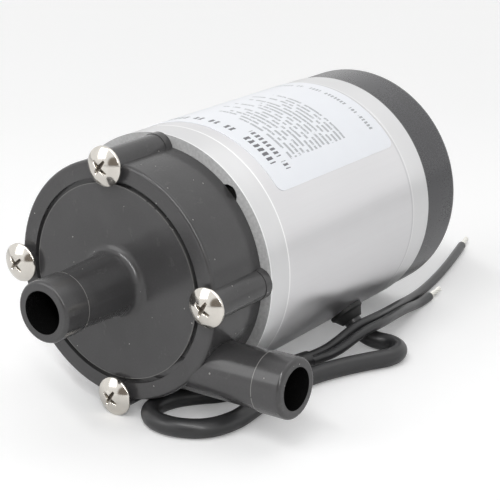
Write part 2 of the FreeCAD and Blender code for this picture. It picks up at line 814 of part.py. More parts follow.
def make_bearing(name, front):
    """A ball bearing as its two races and its balls."""
    rear = front + d.bearing_width
    middle = front + d.bearing_width / 2
    groove = d.ball_radius + d.ball_play
    outer_land = d.ball_circle + d.race_gap
    inner_land = d.ball_circle - d.race_gap
    bite = (groove * groove - d.race_gap * d.race_gap)
    half = Size(f"sqrt({bite.formula})", math.sqrt(bite.value))
    turned(f"{name}_outer_race", [
        (outer_land, -front),
        (d.bearing_radius, -front),
        (d.bearing_radius, -rear),
        (outer_land, -rear),
        (outer_land, -(middle + half), groove),
        (outer_land, -(middle - half)),
    ])
    turned(f"{name}_inner_race", [
        (d.shaft_radius, -front),
        (inner_land, -front),
        (inner_land, -(middle - half), groove),
        (inner_land, -(middle + half)),
        (inner_land, -rear),
        (d.shaft_radius, -rear),
    ])
    balls = start_body(f"{name}_balls")
    sketch = start_sketch(balls, "XZ_Plane", x=d.ball_circle)
    add_outline(sketch, [
        (0.0, -(middle + d.ball_radius), d.ball_radius),
        (d.ball_radius, -middle, d.ball_radius),
        (0.0, -(middle - d.ball_radius)),
    ])
    ball = add_feature(balls, "Revolution", sketch)
    ball.ReferenceAxis = (sketch, ["V_Axis"])
    ball.Angle = 360
    pattern = balls.newObject("PartDesign::PolarPattern", f"{name}_ball_pattern")
    pattern.Originals = [ball]
    z_axis = [each for each in balls.Origin.OriginFeatures if each.Role == "Z_Axis"][0]
    pattern.Axis = (z_axis, [""])
    pattern.Angle = 360
    pattern.setExpression("Occurrences", d.ball_count.formula)
    balls.Tip = pattern


def make_shaft():
    """Motor shaft from the yoke's hub to just past the rear bearing."""
    turned("motor_shaft", tube_points(0.0, d.shaft_radius, YOKE_FLOOR_FRONT, REAR_WEB_REAR + d.shaft_tail))
    seat = REAR_WASHER
    turned("preload_washer", tube_points(d.bearing_radius - 1.6, d.bearing_radius - 0.1, seat,
                                         seat + d.wave_washer_thickness))


def make_stator():
    """Slotted lamination stack and the winding that fills it."""
    bore = d.rotor_radius + d.rotor_gap
    stack = turned("stator_core", tube_points(bore, SHELL_BORE, STACK_FRONT, STACK_REAR))
    half = d.slot_width / 2
    mouth = d.slot_mouth / 2
    slot = cut_outline(stack, STACK_FRONT, STACK_REAR, points=[
        (-mouth, bore - 1.0),
        (mouth, bore - 1.0),
        (mouth, d.slot_root),
        (half, d.slot_root),
        (half, SLOT_END),
        (-half, SLOT_END),
        (-half, d.slot_root),
        (-mouth, d.slot_root),
    ])
    repeat(stack, slot, d.slot_count)
    way = cut_outline(stack, STACK_FRONT, STACK_REAR,
                      circle=(d.tie_bolt_radius + 0.2, TIE_SPOT, TIE_SPOT))
    repeat(stack, way, 4)
    winding = turned("stator_windings", tube_points(
        d.slot_root, SLOT_END, STACK_FRONT - d.end_turn_length, STACK_FRONT))
    turn(winding, tube_points(d.slot_root, SLOT_END, STACK_REAR, STACK_REAR + d.end_turn_length))
    bar = raise_outline(winding, STACK_FRONT, STACK_REAR,
                        points=rectangle(-half, half, d.slot_root, SLOT_END))
    repeat(winding, bar, d.slot_count)


def make_rotor():
    """Lamination stack on the shaft with its cast cage."""
    core = turned("rotor_core", tube_points(d.shaft_radius, d.rotor_radius, STACK_FRONT, STACK_REAR))
    hole = cut_outline(core, STACK_FRONT, STACK_REAR, circle=(d.cage_bar_radius, 0.0, d.cage_bar_circle))
    repeat(core, hole, d.cage_bar_count)
    ring = d.cage_bar_circle + d.cage_bar_radius + 0.4
    front = STACK_FRONT
    cage = turned("rotor_cage", tube_points(d.cage_ring_inner, ring, front - d.cage_ring_thickness, front))
    turn(cage, tube_points(d.cage_ring_inner, ring, STACK_REAR, STACK_REAR + d.cage_ring_thickness))
    bar = raise_outline(cage, front, STACK_REAR, circle=(d.cage_bar_radius, 0.0, d.cage_bar_circle))
    repeat(cage, bar, d.cage_bar_count)


def make_rear_cap():
    """Moulded cap over the rear bell, with the run capacitor inside it."""
    cap = start_body("rear_cap")
    edge = d.cap_edge_rounding
    inner_edge = edge - d.cap_wall / 2
    inside = d.cap_radius - d.cap_wall
    spigot = SHELL_BORE - d.spigot_clearance
    turn(cap, [
        (0.0, -CAP_REAR),
        (d.cap_radius - edge, -CAP_REAR, edge),
        (d.cap_radius, -(CAP_REAR - edge)),
        (d.cap_radius, -REAR_BELL_REAR),
        (spigot, -REAR_BELL_REAR),
        (spigot, -CAP_SPIGOT_FRONT),
        (inside - 0.8, -CAP_SPIGOT_FRONT),
        (inside - 0.8, -(REAR_BELL_REAR + 1.2)),
        (inside, -(REAR_BELL_REAR + 2.0)),
        (inside, -(CAP_FLOOR - inner_edge), -inner_edge),
        (inside - inner_edge, -CAP_FLOOR),
        (0.0, -CAP_FLOOR),
    ])
    pillar = raise_outline(cap, REAR_WEB_REAR, CAP_FLOOR, circle=(d.cap_pillar_radius, d.cap_screw_circle, 0.0))
    repeat(cap, pillar, 2)
    well_floor = CAP_REAR - d.cap_screw_well
    way = cut_outline(cap, REAR_WEB_REAR, CAP_REAR, circle=(d.cap_screw_radius + 0.15, d.cap_screw_circle, 0.0))
    repeat(cap, way, 2)
    well = cut_outline(cap, well_floor, CAP_REAR, circle=(d.cap_screw_head_radius + 0.2, d.cap_screw_circle, 0.0))
    repeat(cap, well, 2)
    screws = start_body("rear_cap_screws")
    head = raise_outline(screws, well_floor, well_floor + d.cap_screw_head_height,
                         circle=(d.cap_screw_head_radius, d.cap_screw_circle, 0.0))
    shank = raise_outline(screws, REAR_WEB_FRONT + 0.5, well_floor,
                          circle=(d.cap_screw_radius, d.cap_screw_circle, 0.0))
    pattern = repeat(screws, shank, 2)
    pattern.Originals = [head, shank]
    capacitor = start_body("run_capacitor")
    wide = d.capacitor_width / 2
    high = d.capacitor_height / 2
    raise_outline(capacitor, CAP_FLOOR - d.capacitor_depth, CAP_FLOOR, points=rectangle(-wide, wide, -high, high))


def make_label():
    """Blank sticker wrapped over the top of the tube."""
    body = start_body("rating_label")
    raise_outline(body, d.label_front_depth, d.label_front_depth + d.label_length,
                  points=sector(d.shell_radius, d.shell_radius + d.label_thickness, LABEL_HALF_ANGLE))


def make_grommet():
    """Moulded cable entry on the lower side of the tube, drawn with z out of the tube."""
    nose = d.shell_radius + d.grommet_collar
    inner = SHELL_BORE
    turned("cable_grommet", [
        (0.0, inner - d.grommet_flange),
        (d.grommet_flange_radius, inner - d.grommet_flange),
        (d.grommet_flange_radius, inner - 0.5),
        (d.grommet_hole_radius, inner - 0.5),
        (d.grommet_hole_radius, d.shell_radius),
        (d.grommet_hole_radius + 0.4, d.shell_radius),
        (d.grommet_hole_radius + 0.4, nose - 0.5),
        (d.grommet_hole_radius - 0.2, nose),
        (d.cable_radius + 0.6, nose + d.grommet_nose),
        (0.0, nose + d.grommet_nose),
    ], GROMMET_ANGLE, GROMMET_DEPTH)


def grommet_mouth():
    """The middle of the grommet's nose and the direction in which the cable leaves it."""
    angle = math.radians(GROMMET_ANGLE)
    out = FreeCAD.Vector(math.sin(angle), 0, math.cos(angle))
    axis = FreeCAD.Vector(float(AXIS_X), float(FACE_Y + GROMMET_DEPTH), float(LOWEST))
    reach = float(d.shell_radius + d.grommet_collar + d.grommet_nose)
    return axis + out * reach, out


def route_wire(points, name):
    """Straight runs joined by arcs that touch them, each as large as its runs allow."""
    edges = []
    start = points[0]
    tightest = None
    for before, corner, after in zip(points, points[1:], points[2:]):
        back = before - corner
        ahead = after - corner
        half_turn = (math.pi - back.getAngle(ahead)) / 2
        trim = 0.45 * min(back.Length, ahead.Length)
        radius = trim / math.tan(half_turn)
        tightest = radius if tightest is None else min(tightest, radius)
        back.normalize()
        ahead.normalize()
        inward = (back + ahead).normalize()
        centre = corner + inward * (radius / math.cos(half_turn))
        entry = corner + back * trim
        leave = corner + ahead * trim
        edges.append(Part.LineSegment(start, entry).toShape())
        edges.append(Part.Arc(entry, centre - inward * radius, leave).toShape())
        start = leave
    edges.append(Part.LineSegment(start, points[-1]).toShape())
    wire = Part.Wire(edges)
    print(f"{name}: {wire.Length:.1f} mm long, tightest bend {tightest:.1f} mm")
    return wire


def add_tube(label, points, radius):
    """A round cord along its route."""
    wire = route_wire(points, label)
    direction = points[1] - points[0]
    section = Part.Wire(Part.makeCircle(radius, points[0], direction))
    tube = wire.makePipeShell([section], True, False)
    expected = math.pi * radius * radius * wire.Length
    if abs(tube.Volume / expected - 1) > 0.01:
        raise RuntimeError(f"{label} has {tube.Volume:.1f} mm3 where {expected:.1f} mm3 was expected")
    cord = doc.addObject("Part::Feature", label)
    cord.Label = label
    cord.Shape = tube
    NODES.append(cord)
    return wire


def on_table(spots, radius):
    """Points of a cord that lies on the table, with its rise above lying flat."""
    return [FreeCAD.Vector(x, y, radius + rise) for x, y, rise in spots]


# the cable from its second bend to the end of its sheath, as x, y and rise in millimetres
CABLE_ROUTE = [
    (22.6, 25.9, 0.4),
    (27.6, 27.2, 0.0),
    (31.6, 24.6, 0.0),
    (32.4, 19.2, 0.0),
    (28.8, 13.6, 0.0),
    (25.4, 7.2, 0.0),
    (22.6, 0.2, 0.0),
    (20.9, -7.6, 0.0),
    (20.5, -16.2, 0.0),
    (21.3, -25.2, 0.0),
    (22.1, -33.8, 0.0),
    (19.4, -41.2, 0.0),
    (12.6, -44.8, 0.0),
    (5.6, -44.2, 0.0),
    (1.3, -39.6, 0.0),
    (1.9, -32.6, 0.0),
    (5.8, -27.2, 0.0),
    (10.6, -22.8, 0.0),
    (12.2, -16.0, 0.0),
    (12.9, -8.6, 0.0),
    (13.8, -1.0, 0.0),
    (15.6, 6.0, 0.0),
]

# the two bare-ended leads, from the end of the sheath
LONG_LEAD_ROUTE = [
    (14.37, 6.37, 1.05),
    (15.14, 9.3, 1.05),
    (17.4, 13.6, 2.35),
    (20.6, 20.6, 6.55),
    (21.6, 28.0, 6.55),
    (19.6, 37.6, 4.85),
    (16.8, 49.2, 2.75),
    (14.4, 60.6, 0.75),
    (12.4, 71.8, 0.0),
    (10.0, 84.0, 0.0),
    (6.6, 97.6, 0.0),
    (2.6, 111.4, 0.0),
]
SHORT_LEAD_ROUTE = [
    (16.87, 5.74, 1.05),
    (17.78, 8.6, 1.05),
    (20.6, 12.2, 2.35),
    (23.6, 19.6, 6.05),
    (24.4, 27.4, 6.05),
    (22.4, 37.0, 4.75),
    (20.0, 47.6, 2.75),
    (18.1, 55.0, 0.9),
    (17.3, 60.4, 0.0),
    (16.8, 65.8, 0.0),
]


def make_cords():
    """The sheathed cable, its two leads and their tinned ends."""
    mouth, out = grommet_mouth()
    radius = float(d.cable_radius)
    cable = [mouth, mouth + out * float(d.cable_neck)] + on_table(CABLE_ROUTE, radius)
    add_tube("power_cable", cable, radius)
    lead_radius = float(d.lead_radius)
    ends = []
    for label, spots in (("long_lead", LONG_LEAD_ROUTE), ("short_lead", SHORT_LEAD_ROUTE)):
        route = on_table(spots, lead_radius)
        add_tube(label, route, lead_radius)
        along = (route[-1] - route[-2]).normalize()
        ends.append((route[-1], along))
    for name, (tip, along) in zip(("long_lead_wire_end", "short_lead_wire_end"), ends):
        wire_end = doc.addObject("Part::Cylinder", name)
        wire_end.Label = name
        wire_end.setExpression("Radius", d.wire_end_radius.formula)
        wire_end.setExpression("Height", d.wire_end_length.formula)
        wire_end.Placement = FreeCAD.Placement(tip, FreeCAD.Rotation(UP, along))
        NODES.append(wire_end)


def check_and_export():
    """Refuse a model with a failed feature or a bad shape, then write every piece."""
    doc.recompute()
    for item in doc.Objects:
        if "Invalid" in item.State or "Error" in item.State:
            raise RuntimeError(f"{item.Name} did not build: {item.State}")
    for node in NODES:
        shape = node.Shape
        if shape.isNull() or not shape.isValid() or not shape.Solids:
            raise RuntimeError(f"{node.Label} has no valid solid")
    os.makedirs("parts", exist_ok=True)
    for node in NODES:
        node.Shape.exportStep(f"parts/{node.Label}.step")
    print(f"{len(NODES)} pieces")


make_front_casing()
make_rear_casing()
make_casing_ring()
make_spindle_parts()
make_impeller()
make_casing_screws()
make_front_bell()
make_rear_bell()
make_motor_tube()
make_tie_bolts()
make_drive_coupling()
make_bearing("front_bearing", FRONT_BEARING)
make_bearing("rear_bearing", REAR_BEARING)
make_shaft()
make_stator()
make_rotor()
make_rear_cap()
make_label()
make_grommet()
make_cords()
check_and_export()
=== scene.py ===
"""Small magnetic-drive brewing pump, lying on a pale table with its cable beside it.

Lengths are given in millimetres and turned into metres where Blender gets them. The frame has
+Z up and the shaft along Y, with the inlet towards -Y and the outlet towards +X.
"""

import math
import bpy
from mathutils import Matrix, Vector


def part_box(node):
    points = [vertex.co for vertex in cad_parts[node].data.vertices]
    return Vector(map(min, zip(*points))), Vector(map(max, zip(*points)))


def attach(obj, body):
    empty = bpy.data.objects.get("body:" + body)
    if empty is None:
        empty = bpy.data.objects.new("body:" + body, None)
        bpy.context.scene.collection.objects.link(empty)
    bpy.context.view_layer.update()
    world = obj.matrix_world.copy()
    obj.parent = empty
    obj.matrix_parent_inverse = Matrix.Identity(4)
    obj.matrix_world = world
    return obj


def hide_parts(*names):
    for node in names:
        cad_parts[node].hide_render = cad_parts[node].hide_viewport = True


bl_info = {
    "name": "Brewing pump",
    "version": (1, 0, 0),
    "blender": (4, 5, 0),
    "location": "3D View > Sidebar > Pump",
    "description": "Dresses the brewing pump's solids and sets it on a pale table",
    "category": "Object",
}

from collections import namedtuple

import bmesh
import bpy
from bpy.props import FloatProperty, FloatVectorProperty, IntProperty, PointerProperty
from mathutils import Matrix, Vector

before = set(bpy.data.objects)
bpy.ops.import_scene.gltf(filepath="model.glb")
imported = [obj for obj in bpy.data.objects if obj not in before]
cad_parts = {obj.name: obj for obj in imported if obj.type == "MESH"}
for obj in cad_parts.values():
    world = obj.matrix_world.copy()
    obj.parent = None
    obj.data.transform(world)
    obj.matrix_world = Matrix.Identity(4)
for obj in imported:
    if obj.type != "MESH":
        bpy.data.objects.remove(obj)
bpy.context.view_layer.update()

MM = 0.001


def box_in_mm(node):
    """The lowest and highest corner of a node of the frame."""
    return [[part / MM for part in corner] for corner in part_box(node)]


# the shaft and the motor's shell, from the tube; depths count from the head's face towards the cap
TUBE_LOW, TUBE_HIGH = box_in_mm("motor_tube")
FACE_Y = -41.225
AXIS_X = (TUBE_LOW[0] + TUBE_HIGH[0]) / 2
AXIS_Z = (TUBE_LOW[2] + TUBE_HIGH[2]) / 2
SHELL_RADIUS = (TUBE_HIGH[0] - TUBE_LOW[0]) / 2
FRONT_SEAM = TUBE_LOW[1] - FACE_Y
REAR_SEAM = TUBE_HIGH[1] - FACE_Y
BELL_FACE = box_in_mm("front_end_bell")[0][1] - FACE_Y

# the head's screws: their circle, the depths of their heads' seats and of their ends, and the
# radius of their shanks
SCREW_CIRCLE = 28.0
SCREW_SEAT = -1.4
SCREW_END = 24.55
SCREW_SHANK = 2.0
# the rear cap's screws: the same, and the reach and depth of their cross recesses
CAP_SCREW_CIRCLE = 22.0
CAP_SCREW_SEAT = 104.05
CAP_SCREW_END = 84.95
CAP_SCREW_SHANK = 1.45
CAP_RECESS_REACH = 1.5
CAP_RECESS_DEPTH = 0.9

# where the hose collars begin: in front of the head's face, and right of the shaft
INLET_COLLAR = -16.7
OUTLET_COLLAR = 38.35
# radius of the face inside its groove
DISC_EDGE = 23.5
# the stubs' bores, and the outlet's place behind the head's face and under the shaft
BORE_RADIUS = 5.1
OUTLET_DEPTH = 7.05
OUTLET_DROP = 18.2

# the sticker's film: how far it stands off the tube, and how thick it is
LABEL_GAP = 0.02
LABEL_THICKNESS = 0.12

# the camera that fits the photograph
CAMERA_PLACE = (214.15, -291.93, 150.75)
CAMERA_AZIMUTH = math.radians(35.970)
CAMERA_HEIGHT = math.radians(18.411)
CAMERA_ROLL = math.radians(-0.795)
CAMERA_LENS = 110.14
CAMERA_SENSOR = 36.0
CAMERA_CLIP = (10.0, 20000.0)

# the lights: place, what they face, length, width and the direction of the length; their power
# is among the stage's settings
LIGHTS = {
    "key": ((-420, -620, 520), (0, -20, 25), 520, 520, (1.0, 0.0, 0.0)),
    "top": ((160, 260, 760), (0, 10, 20), 620, 620, (1.0, 0.0, 0.0)),
    "strip": ((306, -575, 683), (0, -35, 35), 1300, 70, (0.83, -0.16, -0.53)),
}
TABLE_REACH = 6000.0
# how bright the table looks to the camera by itself: near the pump, how much more far away, and
# where and over what distance it gets so
TABLE_GLOW = 0.18
FAR_GLOW = 0.34
FAR_START = 300.0
FAR_SPAN = 1200.0
# the dark patch of the surround that bright metal mirrors: its direction, reach, soft edge and share
DARK_DIRECTION = (0.42, -0.9, 0.14)
DARK_REACH = 0.48
DARK_SOFTNESS = 0.12
DARK_SHARE = 0.9

# colours of the surround, and of dust, wear, ink, painted shade and painted highlights on the
# finishes
WHITE = (1.0, 1.0, 1.0)
BLACK = (0.0, 0.0, 0.0)
DUST_AND_HIGHLIGHT = (0.42, 0.41, 0.39)
BORE_SHADE = (0.006, 0.006, 0.006)
RECESS_SHADE = (0.17, 0.15, 0.13)
GROOVE_SHADE = (0.35, 0.35, 0.36)
EDGE_HIGHLIGHT = (0.97, 0.97, 0.97)
CAST_GREY = (0.5, 0.5, 0.5)
INK = (0.07, 0.07, 0.08)
DARK_PATCH = (0.13, 0.1, 0.07)

# the cable's route, from the grommet to the end of its sheath
CABLE_ROUTE = [
    (16.602, 25.175, 7.037),
    (18.877, 25.175, 4.51),
    (22.6, 25.9, 2.7),
    (27.6, 27.2, 2.3),
    (31.6, 24.6, 2.3),
    (32.4, 19.2, 2.3),
    (28.8, 13.6, 2.3),
    (25.4, 7.2, 2.3),
    (22.6, 0.2, 2.3),
    (20.9, -7.6, 2.3),
    (20.5, -16.2, 2.3),
    (21.3, -25.2, 2.3),
    (22.1, -33.8, 2.3),
    (19.4, -41.2, 2.3),
    (12.6, -44.8, 2.3),
    (5.6, -44.2, 2.3),
    (1.3, -39.6, 2.3),
    (1.9, -32.6, 2.3),
    (5.8, -27.2, 2.3),
    (10.6, -22.8, 2.3),
    (12.2, -16.0, 2.3),
    (12.9, -8.6, 2.3),
    (13.8, -1.0, 2.3),
    (15.6, 6.0, 2.3),
]
LONG_LEAD_ROUTE = [
    (14.37, 6.37, 2.3),
    (15.14, 9.3, 2.3),
    (17.4, 13.6, 3.6),
    (20.6, 20.6, 7.8),
    (21.6, 28.0, 7.8),
    (19.6, 37.6, 6.1),
    (16.8, 49.2, 4.0),
    (14.4, 60.6, 2.0),
    (12.4, 71.8, 1.25),
    (10.0, 84.0, 1.25),
    (6.6, 97.6, 1.25),
    (2.6, 111.4, 1.25),
]
SHORT_LEAD_ROUTE = [
    (16.87, 5.74, 2.3),
    (17.78, 8.6, 2.3),
    (20.6, 12.2, 3.6),
    (23.6, 19.6, 7.3),
    (24.4, 27.4, 7.3),
    (22.4, 37.0, 6.0),
    (20.0, 47.6, 4.0),
    (18.1, 55.0, 2.15),
    (17.3, 60.4, 1.25),
    (16.8, 65.8, 1.25),
]
LONG_LEAD_LENGTH = 110.1
SHORT_LEAD_LENGTH = 63.8
# each stripped end: its size, its strands, their turn from end to end in radians, their offset
# as a share of the end's radius, how far they fray as a share of that, and steps along them
WIRE_END_LENGTH = 7.0
WIRE_END_RADIUS = 0.8
STRANDS = 7
STRAND_TWIST = 4.4
STRAND_OFFSET = 0.66
STRAND_FRAY = 0.12
STRAND_STEPS = 22

# rows higher than this are upright ticks, the others are broken lines
BOLD_PRINT = 1.2
# rows of marks on the sticker: depth, height, start and end round the tube, and darkness
PRINT_ROWS = [
    (33.2, 2.2, -14.0, 25.5, 0.92),
    (37.0, 1.8, 12.0, 25.5, 0.88),
    *[(41.0 + 1.8 * row, 0.85, 1.0 + 5.5 * math.sin(2.6 * row + 1.0), 23.5, 0.5)
      for row in range(14)],
    (76.6, 1.4, -10.0, 24.0, 0.6),
]


class CasingSettings(bpy.types.PropertyGroup):
    """Look of the moulded pump head."""

    colour: FloatVectorProperty(
        name="Plastic colour", description="Colour of the moulded head", subtype="COLOR",
        default=(0.052, 0.051, 0.052), min=0.0, max=1.0)
    roughness: FloatProperty(
        name="Roughness", description="Roughness of the moulded skin", subtype="FACTOR",
        default=0.2, min=0.0, max=1.0)
    dust: FloatProperty(
        name="Dust", description="Share of the skin's cells that hold a speck of dust",
        subtype="FACTOR", default=0.3, min=0.0, max=1.0)


class ScrewSettings(bpy.types.PropertyGroup):
    """Shape of the domed casing screws and of the smaller ones in the rear cap."""

    head_radius: FloatProperty(
        name="Head radius", description="Radius of the domed head", subtype="DISTANCE",
        default=4.75 * MM, min=0.001, max=0.01)
    head_height: FloatProperty(
        name="Head height", description="Height of the dome above the boss", subtype="DISTANCE",
        default=2.4 * MM, min=0.0005, max=0.005)
    recess_reach: FloatProperty(
        name="Recess reach", description="Reach of each wing of the cross recess",
        subtype="DISTANCE", default=2.2 * MM, min=0.0005, max=0.004)
    recess_depth: FloatProperty(
        name="Recess depth", description="Depth of the recess at its middle", subtype="DISTANCE",
        default=1.3 * MM, min=0.0002, max=0.003)
    cap_head_radius: FloatProperty(
        name="Cap screw head radius", description="Radius of the rear cap screws' heads",
        subtype="DISTANCE", default=2.8 * MM, min=0.001, max=0.01)
    cap_head_height: FloatProperty(
        name="Cap screw head height", description="Height of the rear cap screws' heads",
        subtype="DISTANCE", default=1.75 * MM, min=0.0005, max=0.005)
    facets: IntProperty(
        name="Facets", description="Steps round each head", default=112, min=24, max=256)


class MotorSettings(bpy.types.PropertyGroup):
    """Look of the motor's shell and cap."""

    tube_colour: FloatVectorProperty(
        name="Tube colour", description="Colour of the bright tube", subtype="COLOR",
        default=(0.74, 0.735, 0.745), min=0.0, max=1.0)
    band_colour: FloatVectorProperty(
        name="Band colour", description="Colour of the turned bands", subtype="COLOR",
        default=(0.73, 0.73, 0.735), min=0.0, max=1.0)
    cap_colour: FloatVectorProperty(
        name="Cap colour", description="Colour of the rear cap", subtype="COLOR",
        default=(0.05, 0.05, 0.054), min=0.0, max=1.0)


class LabelSettings(bpy.types.PropertyGroup):
    """Size and look of the sticker on the tube."""

    front: FloatProperty(
        name="Front edge", description="Depth of the sticker's front edge", subtype="DISTANCE",
        default=30.1 * MM, min=0.0, max=0.1)
    length: FloatProperty(
        name="Length", description="Length of the sticker along the tube", subtype="DISTANCE",
        default=51.5 * MM, min=0.01, max=0.1)
    half_angle: FloatProperty(
        name="Half angle", description="Angle from the top of the tube to the sticker's edge",
        subtype="ANGLE", default=math.radians(54.7), min=0.1, max=3.0)
    corner: FloatProperty(
        name="Corner", description="Radius of the sticker's corners", subtype="DISTANCE",
        default=2.2 * MM, min=0.0, max=0.01)
    colour: FloatVectorProperty(
        name="Film colour", description="Colour of the sticker's film", subtype="COLOR",
        default=(0.88, 0.9, 0.94), min=0.0, max=1.0)


class CableSettings(bpy.types.PropertyGroup):
    """Sizes and look of the cable and its leads."""

    cable: FloatProperty(
        name="Cable diameter", description="Diameter of the sheathed cable", subtype="DISTANCE",
        default=4.6 * MM, min=0.001, max=0.01)
    lead: FloatProperty(
        name="Lead diameter", description="Diameter of each lead", subtype="DISTANCE",
        default=2.5 * MM, min=0.0005, max=0.006)
    colour: FloatVectorProperty(
        name="Sheath colour", description="Colour of the sheath", subtype="COLOR",
        default=(0.026, 0.026, 0.027), min=0.0, max=1.0)


class StageSettings(bpy.types.PropertyGroup):
    """Table, lights and camera."""

    table_colour: FloatVectorProperty(
        name="Table colour", description="Colour of the table", subtype="COLOR",
        default=(0.9, 0.9, 0.9), min=0.0, max=1.0)
    key: FloatProperty(
        name="Key light", description="Power of the soft light in front",
        default=1.7, min=0.0, max=100.0)
    top: FloatProperty(
        name="Top light", description="Power of the soft light above",
        default=0.9, min=0.0, max=100.0)
    strip: FloatProperty(
        name="Strip light", description="Power of the long light from above to the right",
        default=5.4, min=0.0, max=100.0)
    surround: FloatProperty(
        name="Surround", description="Strength of the even light all round",
        default=0.4, min=0.0, max=5.0)


class Signal:
    """One output of a node. Arithmetic on it adds the nodes that do it."""

    def __init__(self, owner, socket):
        self.owner = owner
        self.socket = socket

    def maths(self, operation, *others):
        return self.owner.maths(operation, self, *others)

    def __add__(self, other):
        return self.maths("ADD", other)

    def __radd__(self, other):
        return self.maths("ADD", other)

    def __sub__(self, other):
        return self.maths("SUBTRACT", other)

    def __rsub__(self, other):
        return self.owner.maths("SUBTRACT", other, self)

    def __mul__(self, other):
        return self.maths("MULTIPLY", other)

    def __rmul__(self, other):
        return self.maths("MULTIPLY", other)

    def __truediv__(self, other):
        return self.maths("DIVIDE", other)

    def __rtruediv__(self, other):
        return self.owner.maths("DIVIDE", other, self)

    def __gt__(self, other):
        return self.maths("GREATER_THAN", other)

    def __lt__(self, other):
        return self.maths("LESS_THAN", other)

    def near(self, value, reach):
        """1 where the signal lies within a reach of a value."""
        return (self > value - reach) * (self < value + reach)

    def held(self):
        """The signal, held between 0 and 1."""
        return self.maths("MAXIMUM", 0.0).maths("MINIMUM", 1.0)


# a Mix node's sockets for colours go by number, because its other kinds have the same names
MIX_FACTOR = 0
MIX_FIRST = 6
MIX_SECOND = 7
MIX_RESULT = 2


class Nodes:
    """The nodes of a material or of the surround."""

    def __init__(self, tree, shader):
        self.nodes = tree.nodes
        self.links = tree.links
        self.shader = self.nodes[shader]

    def add(self, kind, settings=None, sockets=None, output=0):
        """A node of any kind: first its settings, then the values or links of its sockets."""
        node = self.nodes.new(kind)
        for name, value in (settings or {}).items():
            setattr(node, name, value)
        for name, value in (sockets or {}).items():
            self.feed(node.inputs[name], value)
        return Signal(self, node.outputs[output])

    def add_whole(self, kind, settings=None, sockets=None):
        """A node of any kind, as all its outputs by name."""
        node = self.add(kind, settings, sockets).socket.node
        return {output.name: Signal(self, output) for output in node.outputs}

    def maths(self, operation, *values):
        """A Math node on signals and numbers, in their order."""
        return self.add("ShaderNodeMath", {"operation": operation}, dict(enumerate(values)))

    def feed(self, socket, value):
        """Link a signal to a socket, or set the socket's own value."""
        if isinstance(value, Signal):
            self.links.new(value.socket, socket)
        elif socket.type == "RGBA" and len(value) == 3:
            socket.default_value = (*value, 1.0)
        else:
            socket.default_value = value

    def set(self, **sockets):
        """Feed the shader: words in a name are joined by underscores."""
        for name, value in sockets.items():
            self.feed(self.shader.inputs[name.replace("_", " ").title()], value)

    def blend(self, factor, first, second):
        """The first colour, or the second where the factor is 1."""
        sockets = {MIX_FACTOR: factor, MIX_FIRST: first, MIX_SECOND: second}
        return self.add("ShaderNodeMix", {"data_type": "RGBA"}, sockets, MIX_RESULT)


class Finish(Nodes):
    """A material under construction, as its nodes."""

    def __init__(self, name, roughness=0.5, metallic=0.0):
        self.material = bpy.data.materials.new(name)
        self.material.use_nodes = True
        super().__init__(self.material.node_tree, "Principled BSDF")
        self.set(roughness=roughness, metallic=metallic)

    def place(self):
        """Where a point of the piece is, in metres."""
        return self.add("ShaderNodeTexCoord", output="Object")

    def stretched(self, scale):
        """The place, scaled apart along each axis."""
        sockets = {"Vector": self.place(), "Scale": scale}
        return self.add("ShaderNodeMapping", None, sockets)

    def offsets(self):
        """Millimetres right of the shaft, behind the head's face and above the shaft."""
        middle = tuple(seen_from_front(0.0, 0.0, 0.0))
        sockets = {0: self.place(), 1: middle}
        local = self.add("ShaderNodeVectorMath", {"operation": "SUBTRACT"}, sockets)
        parts = self.add_whole("ShaderNodeSeparateXYZ", None, {0: local})
        return [part * (1.0 / MM) for part in parts.values()]

    def around(self):
        """Angle round the shaft, and millimetres from it and behind the head's face."""
        across, depth, up = self.offsets()
        return across.maths("ARCTAN2", up), (across * across + up * up).maths("SQRT"), depth

    def cloud(self, scale, detail=2.0, vector=None, roughness=0.5):
        """Soft noise between 0 and 1."""
        sockets = {
            "Vector": vector or self.place(), "Scale": scale,
            "Detail": detail, "Roughness": roughness}
        return self.add("ShaderNodeTexNoise", None, sockets)

    def specks(self, scale, size, share):
        """1 inside small round specks, which only a share of the cells holds."""
        sockets = {"Vector": self.place(), "Scale": scale}
        cells = self.add_whole("ShaderNodeTexVoronoi", {"feature": "F1"}, sockets)
        pick = self.add("ShaderNodeSeparateColor", None, {0: cells["Color"]})
        return (cells["Distance"] < size) * (pick > 1.0 - share)

    def shade(self, colour, signal, spread):
        """A colour that gets darker and lighter by a share as the signal goes from 0 to 1."""
        dark = tuple(part * (1.0 - spread) for part in colour)
        light = tuple(min(part * (1.0 + spread), 1.0) for part in colour)
        return self.blend(signal, dark, light)

    def bump(self, height, depth, strength=1.0, under=None):
        """A normal from a height of 0 to 1, with its full depth in millimetres."""
        sockets = {"Height": height, "Distance": depth * MM, "Strength": strength}
        if under:
            sockets["Normal"] = under
        return self.add("ShaderNodeBump", None, sockets)


